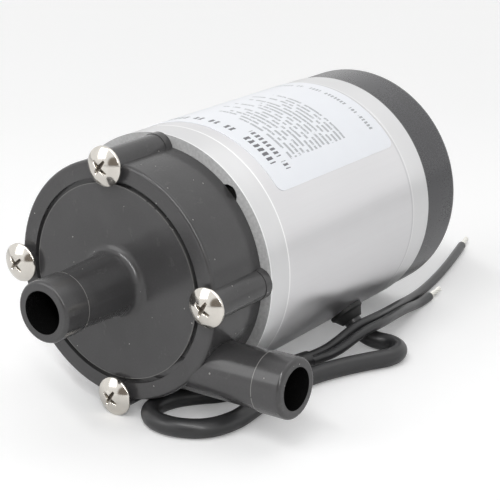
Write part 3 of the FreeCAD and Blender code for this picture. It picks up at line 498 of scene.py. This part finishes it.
def moulded_plastic(name, colour, roughness, dust):
    """Dark moulded nylon: mottled skin, faint rub marks, dust specks, collar wear, painted
    highlights and painted shade.
    """
    finish = Finish(name)
    mottle = finish.cloud(95.0, 4.0)
    grain = finish.cloud(2400.0, 3.0)
    flow = finish.cloud(38.0, 3.0, finish.stretched((1.0, 0.35, 1.0)))
    rubs = finish.cloud(420.0, 6.0, finish.stretched((1.0, 0.4, 0.45)), 0.75)
    speck = finish.specks(430.0, 0.075, dust) + finish.specks(190.0, 0.045, dust * 0.6)
    across, depth, up = finish.offsets()
    # and a broken painted highlight along the edge of the face's disc
    # pale rings at the stub collars: part wear, part painted highlight;
    collars = depth.near(INLET_COLLAR, 0.2) + across.near(OUTLET_COLLAR, 0.2)
    from_shaft = across * across + up * up
    edge = from_shaft.near(DISC_EDGE ** 2, 5.0) * (depth < 0.3)
    wear_and_highlight = (collars + edge * 0.4) * (finish.cloud(500.0, 3.0) > 0.34)
    pale = (rubs > 0.62) * 0.03 + speck * 0.5 + wear_and_highlight * 0.4
    # painted shade: the insides of the inlet and outlet bores are blended to near black
    inlet = (from_shaft < BORE_RADIUS ** 2) * (depth < 0.0)
    behind = depth - OUTLET_DEPTH
    below = up + OUTLET_DROP
    outlet = (behind * behind + below * below < BORE_RADIUS ** 2) * (across > 0.0)
    skin = finish.shade(colour, mottle * 0.45 + flow * 0.3 + grain * 0.25, 0.5)
    dusted_and_highlit = finish.blend(pale, skin, DUST_AND_HIGHLIGHT)
    finish.set(
        base_color=finish.blend(inlet + outlet, dusted_and_highlit, BORE_SHADE),
        roughness=mottle * 0.16 + grain * 0.08 + rubs * 0.12 + (roughness - 0.18) + speck * 0.3,
        normal=finish.bump(grain, 0.012, 0.5, finish.bump(flow, 0.14, 0.3)))
    return finish.material


def cap_plastic(name, colour):
    """Satin black moulding with a very fine texture."""
    finish = Finish(name)
    grain = finish.cloud(3000.0, 2.0)
    mottle = finish.cloud(60.0, 3.0)
    finish.set(
        base_color=finish.shade(colour, mottle, 0.15),
        roughness=mottle * 0.08 + grain * 0.08 + 0.2,
        normal=finish.bump(grain, 0.01, 0.5))
    return finish.material


def polished_screw(name, colour):
    """Bright plated steel with hairline marks and a rougher recess, darkened by painted shade."""
    finish = Finish(name, metallic=1.0)
    depth = finish.add("ShaderNodeAttribute", {"attribute_name": RECESS_LAYER}, output="Fac")
    marks = finish.cloud(900.0, 4.0, finish.stretched((1.0, 1.0, 6.0)))
    tarnish = finish.cloud(420.0, 3.0)
    clean = finish.shade(colour, tarnish, 0.1)
    # painted shade: the recess gets darker towards its depth
    finish.set(
        base_color=finish.blend(depth, clean, RECESS_SHADE),
        roughness=marks * 0.10 + 0.09 + depth * 0.3,
        normal=finish.bump(marks, 0.006, 0.3))
    return finish.material


def satin_tube(name, colour):
    """Rolled bright tube: faint bands and scuffs along its length, and a painted shade line by its
    rear seam.
    """
    finish = Finish(name, metallic=1.0)
    angle, _, depth = finish.around()
    sockets = {"X": angle * SHELL_RADIUS, "Y": depth * 0.02}
    wrapped = finish.add("ShaderNodeCombineXYZ", None, sockets)
    draw_lines = finish.cloud(1.6, 5.0, wrapped)
    haze = finish.cloud(55.0, 3.0)
    scuffs = finish.cloud(260.0, 6.0, finish.stretched((1.0, 0.25, 1.0)), 0.7)
    # painted shade: a faint dark line on the tube just in front of its rear seam
    groove = depth.near(REAR_SEAM - 0.6, 0.3) * 0.3
    skin = finish.shade(colour, haze * 0.5 + draw_lines * 0.5, 0.05)
    finish.set(
        base_color=finish.blend(groove, skin, GROOVE_SHADE),
        roughness=haze * 0.08 + draw_lines * 0.06 + scuffs * 0.08 + 0.2,
        normal=finish.bump(draw_lines, 0.004, 0.25, finish.bump(scuffs, 0.003, 0.25)))
    return finish.material


def turned_band(name, colour):
    """Cast metal with the fine rings that turning leaves, a dull face behind the head, and painted
    highlights.
    """
    finish = Finish(name)
    angle, radius, depth = finish.around()
    sockets = {"X": radius * 6.0, "Y": depth * 6.0, "Z": angle * 0.3}
    rings = finish.add("ShaderNodeCombineXYZ", None, sockets)
    turning = finish.cloud(1.0, 3.0, rings)
    haze = finish.cloud(70.0, 3.0)
    # painted highlights: thin near-white lines at both seams and at the outer corner of the face
    seam = depth.near(FRONT_SEAM, 0.42) + depth.near(REAR_SEAM, 0.3) * 0.5
    corner = depth.near(BELL_FACE + 0.3, 0.17) * (radius > SHELL_RADIUS - 0.5) * 0.8
    pits = finish.cloud(1300.0, 3.0)
    cast = (depth < BELL_FACE + 0.12) * (depth > BELL_FACE - 0.5)
    turned = finish.shade(colour, haze, 0.06)
    skin = finish.blend(cast, turned, finish.shade(CAST_GREY, pits, 0.3))
    finish.set(
        base_color=finish.blend(seam + corner, skin, EDGE_HIGHLIGHT),
        metallic=1.0 - cast * 0.85,
        roughness=turning * 0.12 + haze * 0.06 + 0.24 + seam * 0.1 + cast * 0.25,
        normal=finish.bump(turning, 0.006, 0.3, finish.bump(1.0 - seam, 0.12, 0.8)))
    return finish.material


def printed_film(name, colour):
    """Glossy sticker film with rows of upright ticks and of broken grey lines."""
    finish = Finish(name, roughness=0.3)
    angle, _, depth = finish.around()
    along = angle * SHELL_RADIUS
    spot = finish.add("ShaderNodeCombineXYZ", None, {"X": along, "Y": depth})
    marks = []
    for row, height, start, end, strength in PRINT_ROWS:
        inside = (depth > row) * (depth < row + height) * (along > start) * (along < end)
        sockets = {"W": along * (0.5 / height) + row * 5.3, "Scale": 1.0, "Detail": 0.0}
        groups = finish.add("ShaderNodeTexNoise", {"noise_dimensions": "1D"}, sockets)
        breaks = finish.cloud(1.3 / height, 1.0, spot)
        bold = (along * (9.0 / height) + row).maths("SINE") > breaks * 2.4 - 1.4
        fine = breaks > 0.36
        kind = bold if height > BOLD_PRINT else fine
        marks.append(inside * (groups > 0.38) * kind * strength)
    ink = sum(marks[1:], marks[0])
    wear = finish.cloud(180.0, 3.0)
    finish.set(
        base_color=finish.blend(ink, finish.shade(colour, wear, 0.02), INK),
        roughness=wear * 0.08 + 0.26,
        normal=finish.bump(wear, 0.01, 0.2))
    return finish.material


def cable_sheath(name, colour):
    """Soft glossy black sheath with a faintly uneven skin."""
    finish = Finish(name)
    waves = finish.cloud(230.0, 3.0)
    grain = finish.cloud(2200.0, 2.0)
    finish.set(
        base_color=finish.shade(colour, waves, 0.2),
        roughness=waves * 0.12 + grain * 0.05 + 0.26,
        normal=finish.bump(waves, 0.05, 0.35, finish.bump(grain, 0.006, 0.4)))
    return finish.material


def laminated(name, colour, metallic, pitch):
    """Stacked sheets, seen as thin lines across the shaft."""
    finish = Finish(name, metallic=metallic)
    _, _, depth = finish.around()
    sheet = (depth / pitch).maths("FRACT")
    haze = finish.cloud(300.0, 3.0)
    seam = sheet > 0.8
    finish.set(
        base_color=finish.shade(colour, haze - seam * 0.5, 0.2),
        roughness=haze * 0.2 + 0.38,
        normal=finish.bump(1.0 - seam, 0.02, 0.5))
    return finish.material


def wound_copper(name, colour):
    """Enamelled wire laid side by side."""
    finish = Finish(name, metallic=0.85)
    _, radius, depth = finish.around()
    wires = (radius * 14.0 + depth * 0.6).maths("SINE")
    haze = finish.cloud(500.0, 3.0)
    finish.set(
        base_color=finish.shade(colour, haze, 0.3),
        roughness=haze * 0.15 + 0.25,
        normal=finish.bump(wires * 0.5 + 0.5, 0.1, 0.7))
    return finish.material


def plain_finish(name, colour, roughness, metallic=0.0, spread=0.12, grain=900.0, relief=0.01):
    """A surface with a little cloudiness in colour and gloss, and a fine grain."""
    finish = Finish(name, metallic=metallic)
    haze = finish.cloud(grain * 0.12, 3.0)
    fine = finish.cloud(grain, 3.0)
    finish.set(
        base_color=finish.shade(colour, haze * 0.7 + fine * 0.3, spread),
        roughness=haze * 0.1 + fine * 0.08 + (roughness - 0.09),
        normal=finish.bump(fine, relief, 0.5))
    return finish.material


def coat(material, *nodes):
    """Give pieces of the frame a finish in place of their plain one."""
    for name in nodes:
        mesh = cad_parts[name].data
        mesh.materials.clear()
        mesh.materials.append(material)


def add_piece(shape, material, node):
    """A piece with its shape's name, which rides on the pump's body and stands for a node."""
    piece = bpy.data.objects.new(shape.name, shape)
    bpy.context.scene.collection.objects.link(piece)
    shape.materials.append(material)
    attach(piece, "pump")
    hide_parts(node)
    return piece


def seen_from_front(x, y, depth):
    """A point right of and above the shaft and behind the head's face, in metres."""
    return Vector((AXIS_X + x, FACE_Y + depth, AXIS_Z + y)) * MM


def round_curve(name, radius, steps, facets):
    """An empty curve that is round in section: steps between its points, and facets round it."""
    curve = bpy.data.curves.new(name, "CURVE")
    curve.dimensions = "3D"
    curve.resolution_u = steps
    curve.bevel_depth = radius
    curve.bevel_resolution = facets
    curve.use_fill_caps = True
    return curve


def cord_curve(name, route, diameter):
    """A round cord on one smooth curve, with the route's points as its control points."""
    curve = round_curve(name, diameter / 2, steps=16, facets=8)
    spline = curve.splines.new("NURBS")
    spline.points.add(len(route) - 1)
    for point, place in zip(spline.points, route):
        point.co = (*(part * MM for part in place), 1.0)
    spline.order_u = 3
    spline.use_endpoint_u = True
    return curve


def strand_curve(name, start, end, radius):
    """Strands twisted round a straight one, as the stripped end of a lead."""
    axis = (end - start).normalized()
    side = axis.orthogonal().normalized()
    other = axis.cross(side)
    curve = round_curve(name, radius / 3, steps=4, facets=3)
    for strand in range(STRANDS):
        spline = curve.splines.new("POLY")
        spline.points.add(STRAND_STEPS)
        offset = 0.0 if strand == 0 else radius * STRAND_OFFSET
        for step, point in enumerate(spline.points):
            share = step / STRAND_STEPS
            angle = strand * math.tau / (STRANDS - 1) + share * STRAND_TWIST
            fray = 1.0 + STRAND_FRAY * share * math.sin(strand * 2.4)
            around = (side * math.cos(angle) + other * math.sin(angle)) * offset * fray
            point.co = (*(start.lerp(end, share) + around), 1.0)
    return curve


class PUMP_OT_cable(bpy.types.Operator):
    """Make the sheathed cable, its two leads and their stripped ends"""

    bl_idname = "pump.cable"
    bl_label = "Cable and leads"

    def execute(self, context):
        settings = context.scene.pump_cable
        sheath = cable_sheath("cable_sheath", settings.colour)
        tinned = plain_finish(
            "tinned_strands", (0.86, 0.85, 0.8), 0.32, metallic=1.0, spread=0.08, grain=1800.0)
        curve = cord_curve("cable_run", CABLE_ROUTE, settings.cable)
        cable = add_piece(curve, sheath, "power_cable")
        leads = [
            ("long_lead", LONG_LEAD_ROUTE, LONG_LEAD_LENGTH),
            ("short_lead", SHORT_LEAD_ROUTE, SHORT_LEAD_LENGTH),
        ]
        for node, route, length in leads:
            curve = cord_curve(f"{node}_run", route, settings.lead)
            lead = add_piece(curve, sheath, node)
            tip = Vector(route[-1]) * MM
            along = (tip - Vector(route[-2]) * MM).normalized()
            end = tip + along * (WIRE_END_LENGTH * MM)
            curve = strand_curve(f"{node}_strands", tip, end, WIRE_END_RADIUS * MM)
            strands = add_piece(curve, tinned, f"{node}_wire_end")
        # the grommet is black rubber, darkened further as painted shade for the shadow under the
        # tube
        coat(plain_finish("grommet_rubber", (0.006, 0.006, 0.006), 0.55), "cable_grommet")
        return {"FINISHED"}


class PUMP_OT_head(bpy.types.Operator):
    """Finish the moulded head and the flange behind it"""

    bl_idname = "pump.head"
    bl_label = "Pump head"

    def execute(self, context):
        settings = context.scene.pump_casing
        nylon = moulded_plastic("head_nylon", settings.colour, settings.roughness, settings.dust)
        coat(nylon, "front_casing", "rear_casing")
        coat(plain_finish("seal_rubber", (0.02, 0.02, 0.02), 0.55), "casing_o_ring")
        return {"FINISHED"}


ScrewSizes = namedtuple("ScrewSizes", "head height shank length reach depth")
# which way a screw's head faces along the shaft
TOWARDS_INLET = -1.0
TOWARDS_CAP = 1.0
# how deep a point of a screw's head is sunk, as a share of its recess's depth
RECESS_LAYER = "recess"
# a head's rim as a share of its height, and the round of its edges in millimetres
RIM_SHARE = 0.21
SEAT_ROUND = 0.12
RIM_ROUND = 0.1
DOME_INSET = 0.06
DOME_STEPS = 46
# a recess wing's half width as a share of its reach, and how much of that it loses at its end
WING_SHARE = 0.245
WING_TAPER = 0.35
# a recess's depth: the share that it loses at its reach, the least share, and its wall's width
DEPTH_TAPER = 0.72
LEAST_DEPTH = 0.2
RECESS_WALL = (-0.05, 0.3)


def cross_depth(x, y, reach):
    """How far inside the cross recess a point is, in metres; below 0 outside it."""
    narrow, wide = sorted((abs(x), abs(y)))
    half_width = reach * WING_SHARE * (1.0 - WING_TAPER * wide / reach)
    return min(half_width - narrow, reach - wide)


def smooth_step(low, high, value):
    """0 up to a low value, 1 from a high one, and a smooth rise between them."""
    share = min(max((value - low) / (high - low), 0.0), 1.0)
    return share * share * (3.0 - 2.0 * share)


def screw_mesh(name, sizes, facets, seat, turn, facing):
    """One screw: shank, rim, dome and a tapered cross recess, from the middle of its seat."""
    mesh = bpy.data.meshes.new(name)
    shape = bmesh.new()
    recess = shape.verts.layers.float.new(RECESS_LAYER)
    head = sizes.head
    height = sizes.height
    rim = height * RIM_SHARE
    dome = (head * head + (height - rim) ** 2) / (2 * (height - rim))
    wall_low, wall_high = (part * MM for part in RECESS_WALL)
    rings = []

    def add_ring(radius, rise, sink=None):
        ring = []
        for step in range(facets):
            angle = math.tau * step / facets
            x = radius * math.cos(angle)
            y = radius * math.sin(angle)
            drop = sink(x, y) if sink else 0.0
            vert = shape.verts.new(seat + Vector((x, facing * (rise - drop), y)))
            vert[recess] = drop / sizes.depth
            ring.append(vert)
        rings.append(ring)

    def sink(x, y):
        u = x * math.cos(turn) + y * math.sin(turn)
        v = y * math.cos(turn) - x * math.sin(turn)
        taper = 1.0 - DEPTH_TAPER * (math.hypot(x, y) / sizes.reach) ** 2
        share = smooth_step(wall_low, wall_high, cross_depth(u, v, sizes.reach))
        return share * sizes.depth * max(taper, LEAST_DEPTH)

    add_ring(sizes.shank, -sizes.length)
    add_ring(sizes.shank, 0.0)
    add_ring(head - SEAT_ROUND * MM, 0.0)
    add_ring(head, SEAT_ROUND * MM)
    add_ring(head, rim - RIM_ROUND * MM)
    for step in range(DOME_STEPS):
        radius = (head - DOME_INSET * MM) * (1.0 - step / DOME_STEPS)
        rise = height - (dome - math.sqrt(dome * dome - radius * radius))
        add_ring(radius, rise, sink)
    for low, high in zip(rings, rings[1:]):
        for step in range(facets):
            after = (step + 1) % facets
            shape.faces.new((low[step], low[after], high[after], high[step]))
    shape.faces.new(rings[0][::-1])
    tip = shape.verts.new(seat + Vector((0.0, facing * (height - sink(0.0, 0.0)), 0.0)))
    tip[recess] = 1.0
    for step in range(facets):
        shape.faces.new((rings[-1][step], rings[-1][(step + 1) % facets], tip))
    bmesh.ops.recalc_face_normals(shape, faces=shape.faces)
    shape.to_mesh(mesh)
    shape.free()
    mesh.shade_smooth()
    mesh.set_sharp_from_angle(angle=math.radians(50))
    return mesh


class PUMP_OT_screws(bpy.types.Operator):
    """Make the domed screws of the head and of the rear cap, with their cross recesses"""

    bl_idname = "pump.screws"
    bl_label = "Casing screws"

    def execute(self, context):
        settings = context.scene.pump_screws
        steel = polished_screw("screw_steel", (0.69, 0.66, 0.61))
        zinc = polished_screw("screw_zinc", (0.6, 0.6, 0.59))
        large = ScrewSizes(
            head=settings.head_radius, height=settings.head_height,
            shank=SCREW_SHANK * MM, length=(SCREW_END - SCREW_SEAT) * MM,
            reach=settings.recess_reach, depth=settings.recess_depth)
        small = ScrewSizes(
            head=settings.cap_head_radius, height=settings.cap_head_height,
            shank=CAP_SCREW_SHANK * MM, length=(CAP_SCREW_SEAT - CAP_SCREW_END) * MM,
            reach=CAP_RECESS_REACH * MM, depth=CAP_RECESS_DEPTH * MM)
        # each screw: its name, its place right of and above the shaft, and its recess's turn
        spots = [
            ("casing_screw_top", 0.0, SCREW_CIRCLE, 0.9),
            ("casing_screw_right", SCREW_CIRCLE, 0.0, 1.05),
            ("casing_screw_bottom", 0.0, -SCREW_CIRCLE, 1.0),
            ("casing_screw_left", -SCREW_CIRCLE, 0.0, 0.75),
        ]
        for name, x, y, turn in spots:
            seat = seen_from_front(x, y, SCREW_SEAT)
            mesh = screw_mesh(name, large, settings.facets, seat, turn, TOWARDS_INLET)
            add_piece(mesh, steel, "casing_screws")
        cap_spots = [
            ("cap_screw_right", CAP_SCREW_CIRCLE, 0.4),
            ("cap_screw_left", -CAP_SCREW_CIRCLE, 1.2),
        ]
        for name, x, turn in cap_spots:
            seat = seen_from_front(x, 0.0, CAP_SCREW_SEAT)
            mesh = screw_mesh(name, small, settings.facets, seat, turn, TOWARDS_CAP)
            add_piece(mesh, zinc, "rear_cap_screws")
        return {"FINISHED"}


class PUMP_OT_shell(bpy.types.Operator):
    """Finish the motor's tube, its turned bands and the cap behind them"""

    bl_idname = "pump.shell"
    bl_label = "Motor shell"

    def execute(self, context):
        settings = context.scene.pump_motor
        coat(satin_tube("tube_metal", settings.tube_colour), "motor_tube")
        coat(turned_band("band_metal", settings.band_colour), "front_end_bell", "rear_end_bell")
        coat(cap_plastic("cap_plastic", settings.cap_colour), "rear_cap")
        zinc = plain_finish(
            "zinc_plating", (0.62, 0.62, 0.6), 0.34, metallic=1.0, spread=0.15, grain=1400.0)
        coat(zinc, "tie_bolts", "yoke_grub_screw", "drive_yoke")
        return {"FINISHED"}


def label_mesh(name, settings):
    """A sheet wrapped over the tube, with round corners and its own thickness."""
    mesh = bpy.data.meshes.new(name)
    shape = bmesh.new()
    inner = (SHELL_RADIUS + LABEL_GAP) * MM
    outer = inner + LABEL_THICKNESS * MM
    corner = settings.corner
    straight = settings.length - 2 * corner
    columns = 96
    spans = 12
    rows = [corner * (1.0 - math.cos(math.radians(angle))) for angle in range(0, 91, 10)]
    ends = [settings.length - row for row in reversed(rows)]
    rows += [corner + straight * step / spans for step in range(1, spans)] + ends
    sheets = []
    for radius in (inner, outer):
        sheet = []
        for row in rows:
            gap = max(corner - min(row, settings.length - row), 0.0)
            cut = corner - math.sqrt(max(corner * corner - gap * gap, 0.0))
            half = settings.half_angle - cut / outer
            line = []
            for column in range(columns + 1):
                angle = half * (2 * column / columns - 1)
                x = AXIS_X * MM + radius * math.sin(angle)
                y = FACE_Y * MM + settings.front + row
                z = AXIS_Z * MM + radius * math.cos(angle)
                line.append(shape.verts.new((x, y, z)))
            sheet.append(line)
        sheets.append(sheet)
    for sheet in sheets:
        for low, high in zip(sheet, sheet[1:]):
            for column in range(columns):
                shape.faces.new((low[column], low[column + 1], high[column + 1], high[column]))
    under, over = sheets
    sides = [([line[column] for line in under], [line[column] for line in over])
             for column in (0, columns)]
    sides += [(under[row], over[row]) for row in (0, -1)]
    for low, high in sides:
        for step in range(len(low) - 1):
            shape.faces.new((low[step], low[step + 1], high[step + 1], high[step]))
    bmesh.ops.recalc_face_normals(shape, faces=shape.faces)
    shape.to_mesh(mesh)
    shape.free()
    mesh.shade_smooth()
    mesh.set_sharp_from_angle(angle=math.radians(40))
    return mesh


class PUMP_OT_label(bpy.types.Operator):
    """Lay the sticker over the top of the tube"""

    bl_idname = "pump.label"
    bl_label = "Sticker"

    def execute(self, context):
        settings = context.scene.pump_label
        film = printed_film("sticker_film", settings.colour)
        add_piece(label_mesh("sticker", settings), film, "rating_label")
        return {"FINISHED"}


class PUMP_OT_inside(bpy.types.Operator):
    """Finish the pieces inside the head and the motor"""

    bl_idname = "pump.inside"
    bl_label = "Inner pieces"

    def execute(self, context):
        ceramic = plain_finish(
            "ground_ceramic", (0.9, 0.88, 0.82), 0.28, spread=0.05, grain=1200.0, relief=0.004)
        coat(ceramic, "spindle", "front_thrust_washer", "rear_thrust_washer")
        moulding = plain_finish("impeller_moulding", (0.7, 0.7, 0.66), 0.45, spread=0.08)
        coat(moulding, "impeller", "magnet_cap")
        carbon = plain_finish("carbon_bush", (0.035, 0.035, 0.038), 0.5, metallic=0.2)
        coat(carbon, "impeller_bush")
        ferrite = plain_finish(
            "sintered_ferrite", (0.07, 0.07, 0.075), 0.6,
            metallic=0.35, spread=0.3, grain=1600.0, relief=0.03)
        coat(ferrite, "impeller_magnet", "drive_magnets")
        steel = plain_finish(
            "ground_steel", (0.66, 0.66, 0.67), 0.2,
            metallic=1.0, spread=0.06, grain=2000.0, relief=0.003)
        coat(steel, "motor_shaft", "preload_washer")
        for end in ("front", "rear"):
            for part in ("outer_race", "inner_race", "balls"):
                coat(steel, f"{end}_bearing_{part}")
        sheets = laminated("lamination_steel", (0.3, 0.3, 0.32), metallic=0.9, pitch=0.5)
        coat(sheets, "stator_core", "rotor_core")
        coat(wound_copper("enamelled_copper", (0.55, 0.2, 0.08)), "stator_windings")
        cage = plain_finish(
            "cast_cage", (0.66, 0.66, 0.66), 0.45, metallic=1.0, grain=700.0, relief=0.03)
        coat(cage, "rotor_cage")
        case = plain_finish("capacitor_case", (0.72, 0.72, 0.68), 0.35, spread=0.05)
        coat(case, "run_capacitor")
        return {"FINISHED"}


def area_light(name, power, place, target, length, width, along):
    """A soft light that faces a point, with its length along a direction."""
    light = bpy.data.lights.new(name, "AREA")
    light.shape = "RECTANGLE"
    light.size = length * MM
    light.size_y = width * MM
    light.energy = power
    lamp = bpy.data.objects.new(name, light)
    bpy.context.scene.collection.objects.link(lamp)
    back = (Vector(place) - Vector(target)).normalized()
    long_side = (Vector(along) - back * back.dot(Vector(along))).normalized()
    turn = Matrix((long_side, back.cross(long_side), back)).transposed()
    lamp.matrix_world = Matrix.Translation(Vector(place) * MM) @ turn.to_4x4()


def lay_table(colour):
    """A pale table top, which the camera sees nearly white far from the pump."""
    finish = Finish("table_top", roughness=0.5)
    haze = finish.cloud(8.0, 3.0)
    seen = finish.add("ShaderNodeLightPath", output="Is Camera Ray")
    away = finish.add(
        "ShaderNodeVectorMath", {"operation": "LENGTH"}, {0: finish.place()}, output="Value")
    far = ((away - FAR_START * MM) / (FAR_SPAN * MM)).held()
    finish.set(
        base_color=finish.shade(colour, haze, 0.01),
        emission_color=finish.blend(seen * (far * FAR_GLOW + TABLE_GLOW), BLACK, WHITE),
        emission_strength=1.0)
    reach = TABLE_REACH * MM
    corners = [
        (-reach, -reach, 0.0), (reach, -reach, 0.0), (reach, reach, 0.0), (-reach, reach, 0.0)]
    mesh = bpy.data.meshes.new("table_top")
    mesh.from_pydata(corners, [], [(0, 1, 2, 3)])
    mesh.materials.append(finish.material)
    table = bpy.data.objects.new("table_top", mesh)
    bpy.context.scene.collection.objects.link(table)


def set_surround(scene, even):
    """White for the camera and, but for one dark patch, for mirrors; even and dim for the rest."""
    world = scene.world or bpy.data.worlds.new("surround")
    scene.world = world
    world.use_nodes = True
    nodes = Nodes(world.node_tree, "Background")
    rays = nodes.add_whole("ShaderNodeLightPath")
    mirrored = rays["Is Glossy Ray"].maths("MAXIMUM", rays["Is Transmission Ray"])
    white = rays["Is Camera Ray"].maths("MAXIMUM", mirrored)
    towards = nodes.add("ShaderNodeTexCoord", output="Generated")
    apart = nodes.add(
        "ShaderNodeVectorMath", {"operation": "DISTANCE"}, {0: towards, 1: DARK_DIRECTION},
        output="Value")
    dark = ((DARK_REACH - apart) / DARK_SOFTNESS).held()
    nodes.set(
        color=nodes.blend(dark * mirrored * DARK_SHARE, WHITE, DARK_PATCH),
        strength=white * (1.0 - even) + even)


def aim_camera(scene):
    """The camera, as far round, as high and as tilted as the photograph's."""
    level = math.cos(CAMERA_HEIGHT)
    back = Vector((
        math.sin(CAMERA_AZIMUTH) * level, -math.cos(CAMERA_AZIMUTH) * level,
        math.sin(CAMERA_HEIGHT)))
    right = Vector((math.cos(CAMERA_AZIMUTH), math.sin(CAMERA_AZIMUTH), 0.0))
    up = back.cross(right)
    rolled_right = right * math.cos(CAMERA_ROLL) + up * math.sin(CAMERA_ROLL)
    rolled_up = up * math.cos(CAMERA_ROLL) - right * math.sin(CAMERA_ROLL)
    turn = Matrix((rolled_right, rolled_up, back)).transposed()
    data = bpy.data.cameras.new("photo_camera")
    data.sensor_width = CAMERA_SENSOR
    data.lens = CAMERA_LENS
    data.clip_start, data.clip_end = (part * MM for part in CAMERA_CLIP)
    camera = bpy.data.objects.new("photo_camera", data)
    scene.collection.objects.link(camera)
    camera.matrix_world = Matrix.Translation(Vector(CAMERA_PLACE) * MM) @ turn.to_4x4()
    scene.camera = camera


class PUMP_OT_stage(bpy.types.Operator):
    """Set the table, the lights and the camera"""

    bl_idname = "pump.stage"
    bl_label = "Table, lights and camera"

    def execute(self, context):
        settings = context.scene.pump_stage
        lay_table(settings.table_colour)
        for name, layout in LIGHTS.items():
            area_light(f"{name}_light", getattr(settings, name), *layout)
        set_surround(context.scene, settings.surround)
        aim_camera(context.scene)
        context.scene.view_settings.view_transform = "Standard"
        return {"FINISHED"}


class PUMP_PT_sidebar(bpy.types.Panel):
    """The pump's settings and the buttons that make its pieces"""

    bl_label = "Brewing pump"
    bl_idname = "PUMP_PT_sidebar"
    bl_space_type = "VIEW_3D"
    bl_region_type = "UI"
    bl_category = "Pump"

    def draw(self, context):
        for operator, group in STEPS:
            box = self.layout.box()
            box.operator(operator.bl_idname)
            if group:
                settings = getattr(context.scene, group)
                for name in settings.bl_rna.properties.keys():
                    if name not in ("rna_type", "name"):
                        box.prop(settings, name)


STEPS = [
    (PUMP_OT_stage, "pump_stage"),
    (PUMP_OT_cable, "pump_cable"),
    (PUMP_OT_head, "pump_casing"),
    (PUMP_OT_screws, "pump_screws"),
    (PUMP_OT_shell, "pump_motor"),
    (PUMP_OT_label, "pump_label"),
    (PUMP_OT_inside, None),
]
SETTINGS = {
    "pump_stage": StageSettings,
    "pump_cable": CableSettings,
    "pump_casing": CasingSettings,
    "pump_screws": ScrewSettings,
    "pump_motor": MotorSettings,
    "pump_label": LabelSettings,
}


def register():
    for name, group in SETTINGS.items():
        bpy.utils.register_class(group)
        setattr(bpy.types.Scene, name, PointerProperty(type=group))
    for operator, _ in STEPS:
        bpy.utils.register_class(operator)
    bpy.utils.register_class(PUMP_PT_sidebar)


def unregister():
    bpy.utils.unregister_class(PUMP_PT_sidebar)
    for operator, _ in reversed(STEPS):
        bpy.utils.unregister_class(operator)
    for name, group in reversed(SETTINGS.items()):
        delattr(bpy.types.Scene, name)
        bpy.utils.unregister_class(group)


def main():
    register()
    bpy.ops.pump.stage()
    bpy.ops.pump.cable()
    bpy.ops.pump.head()
    bpy.ops.pump.screws()
    bpy.ops.pump.shell()
    bpy.ops.pump.label()
    bpy.ops.pump.inside()


if __name__ == "__main__":
    main()
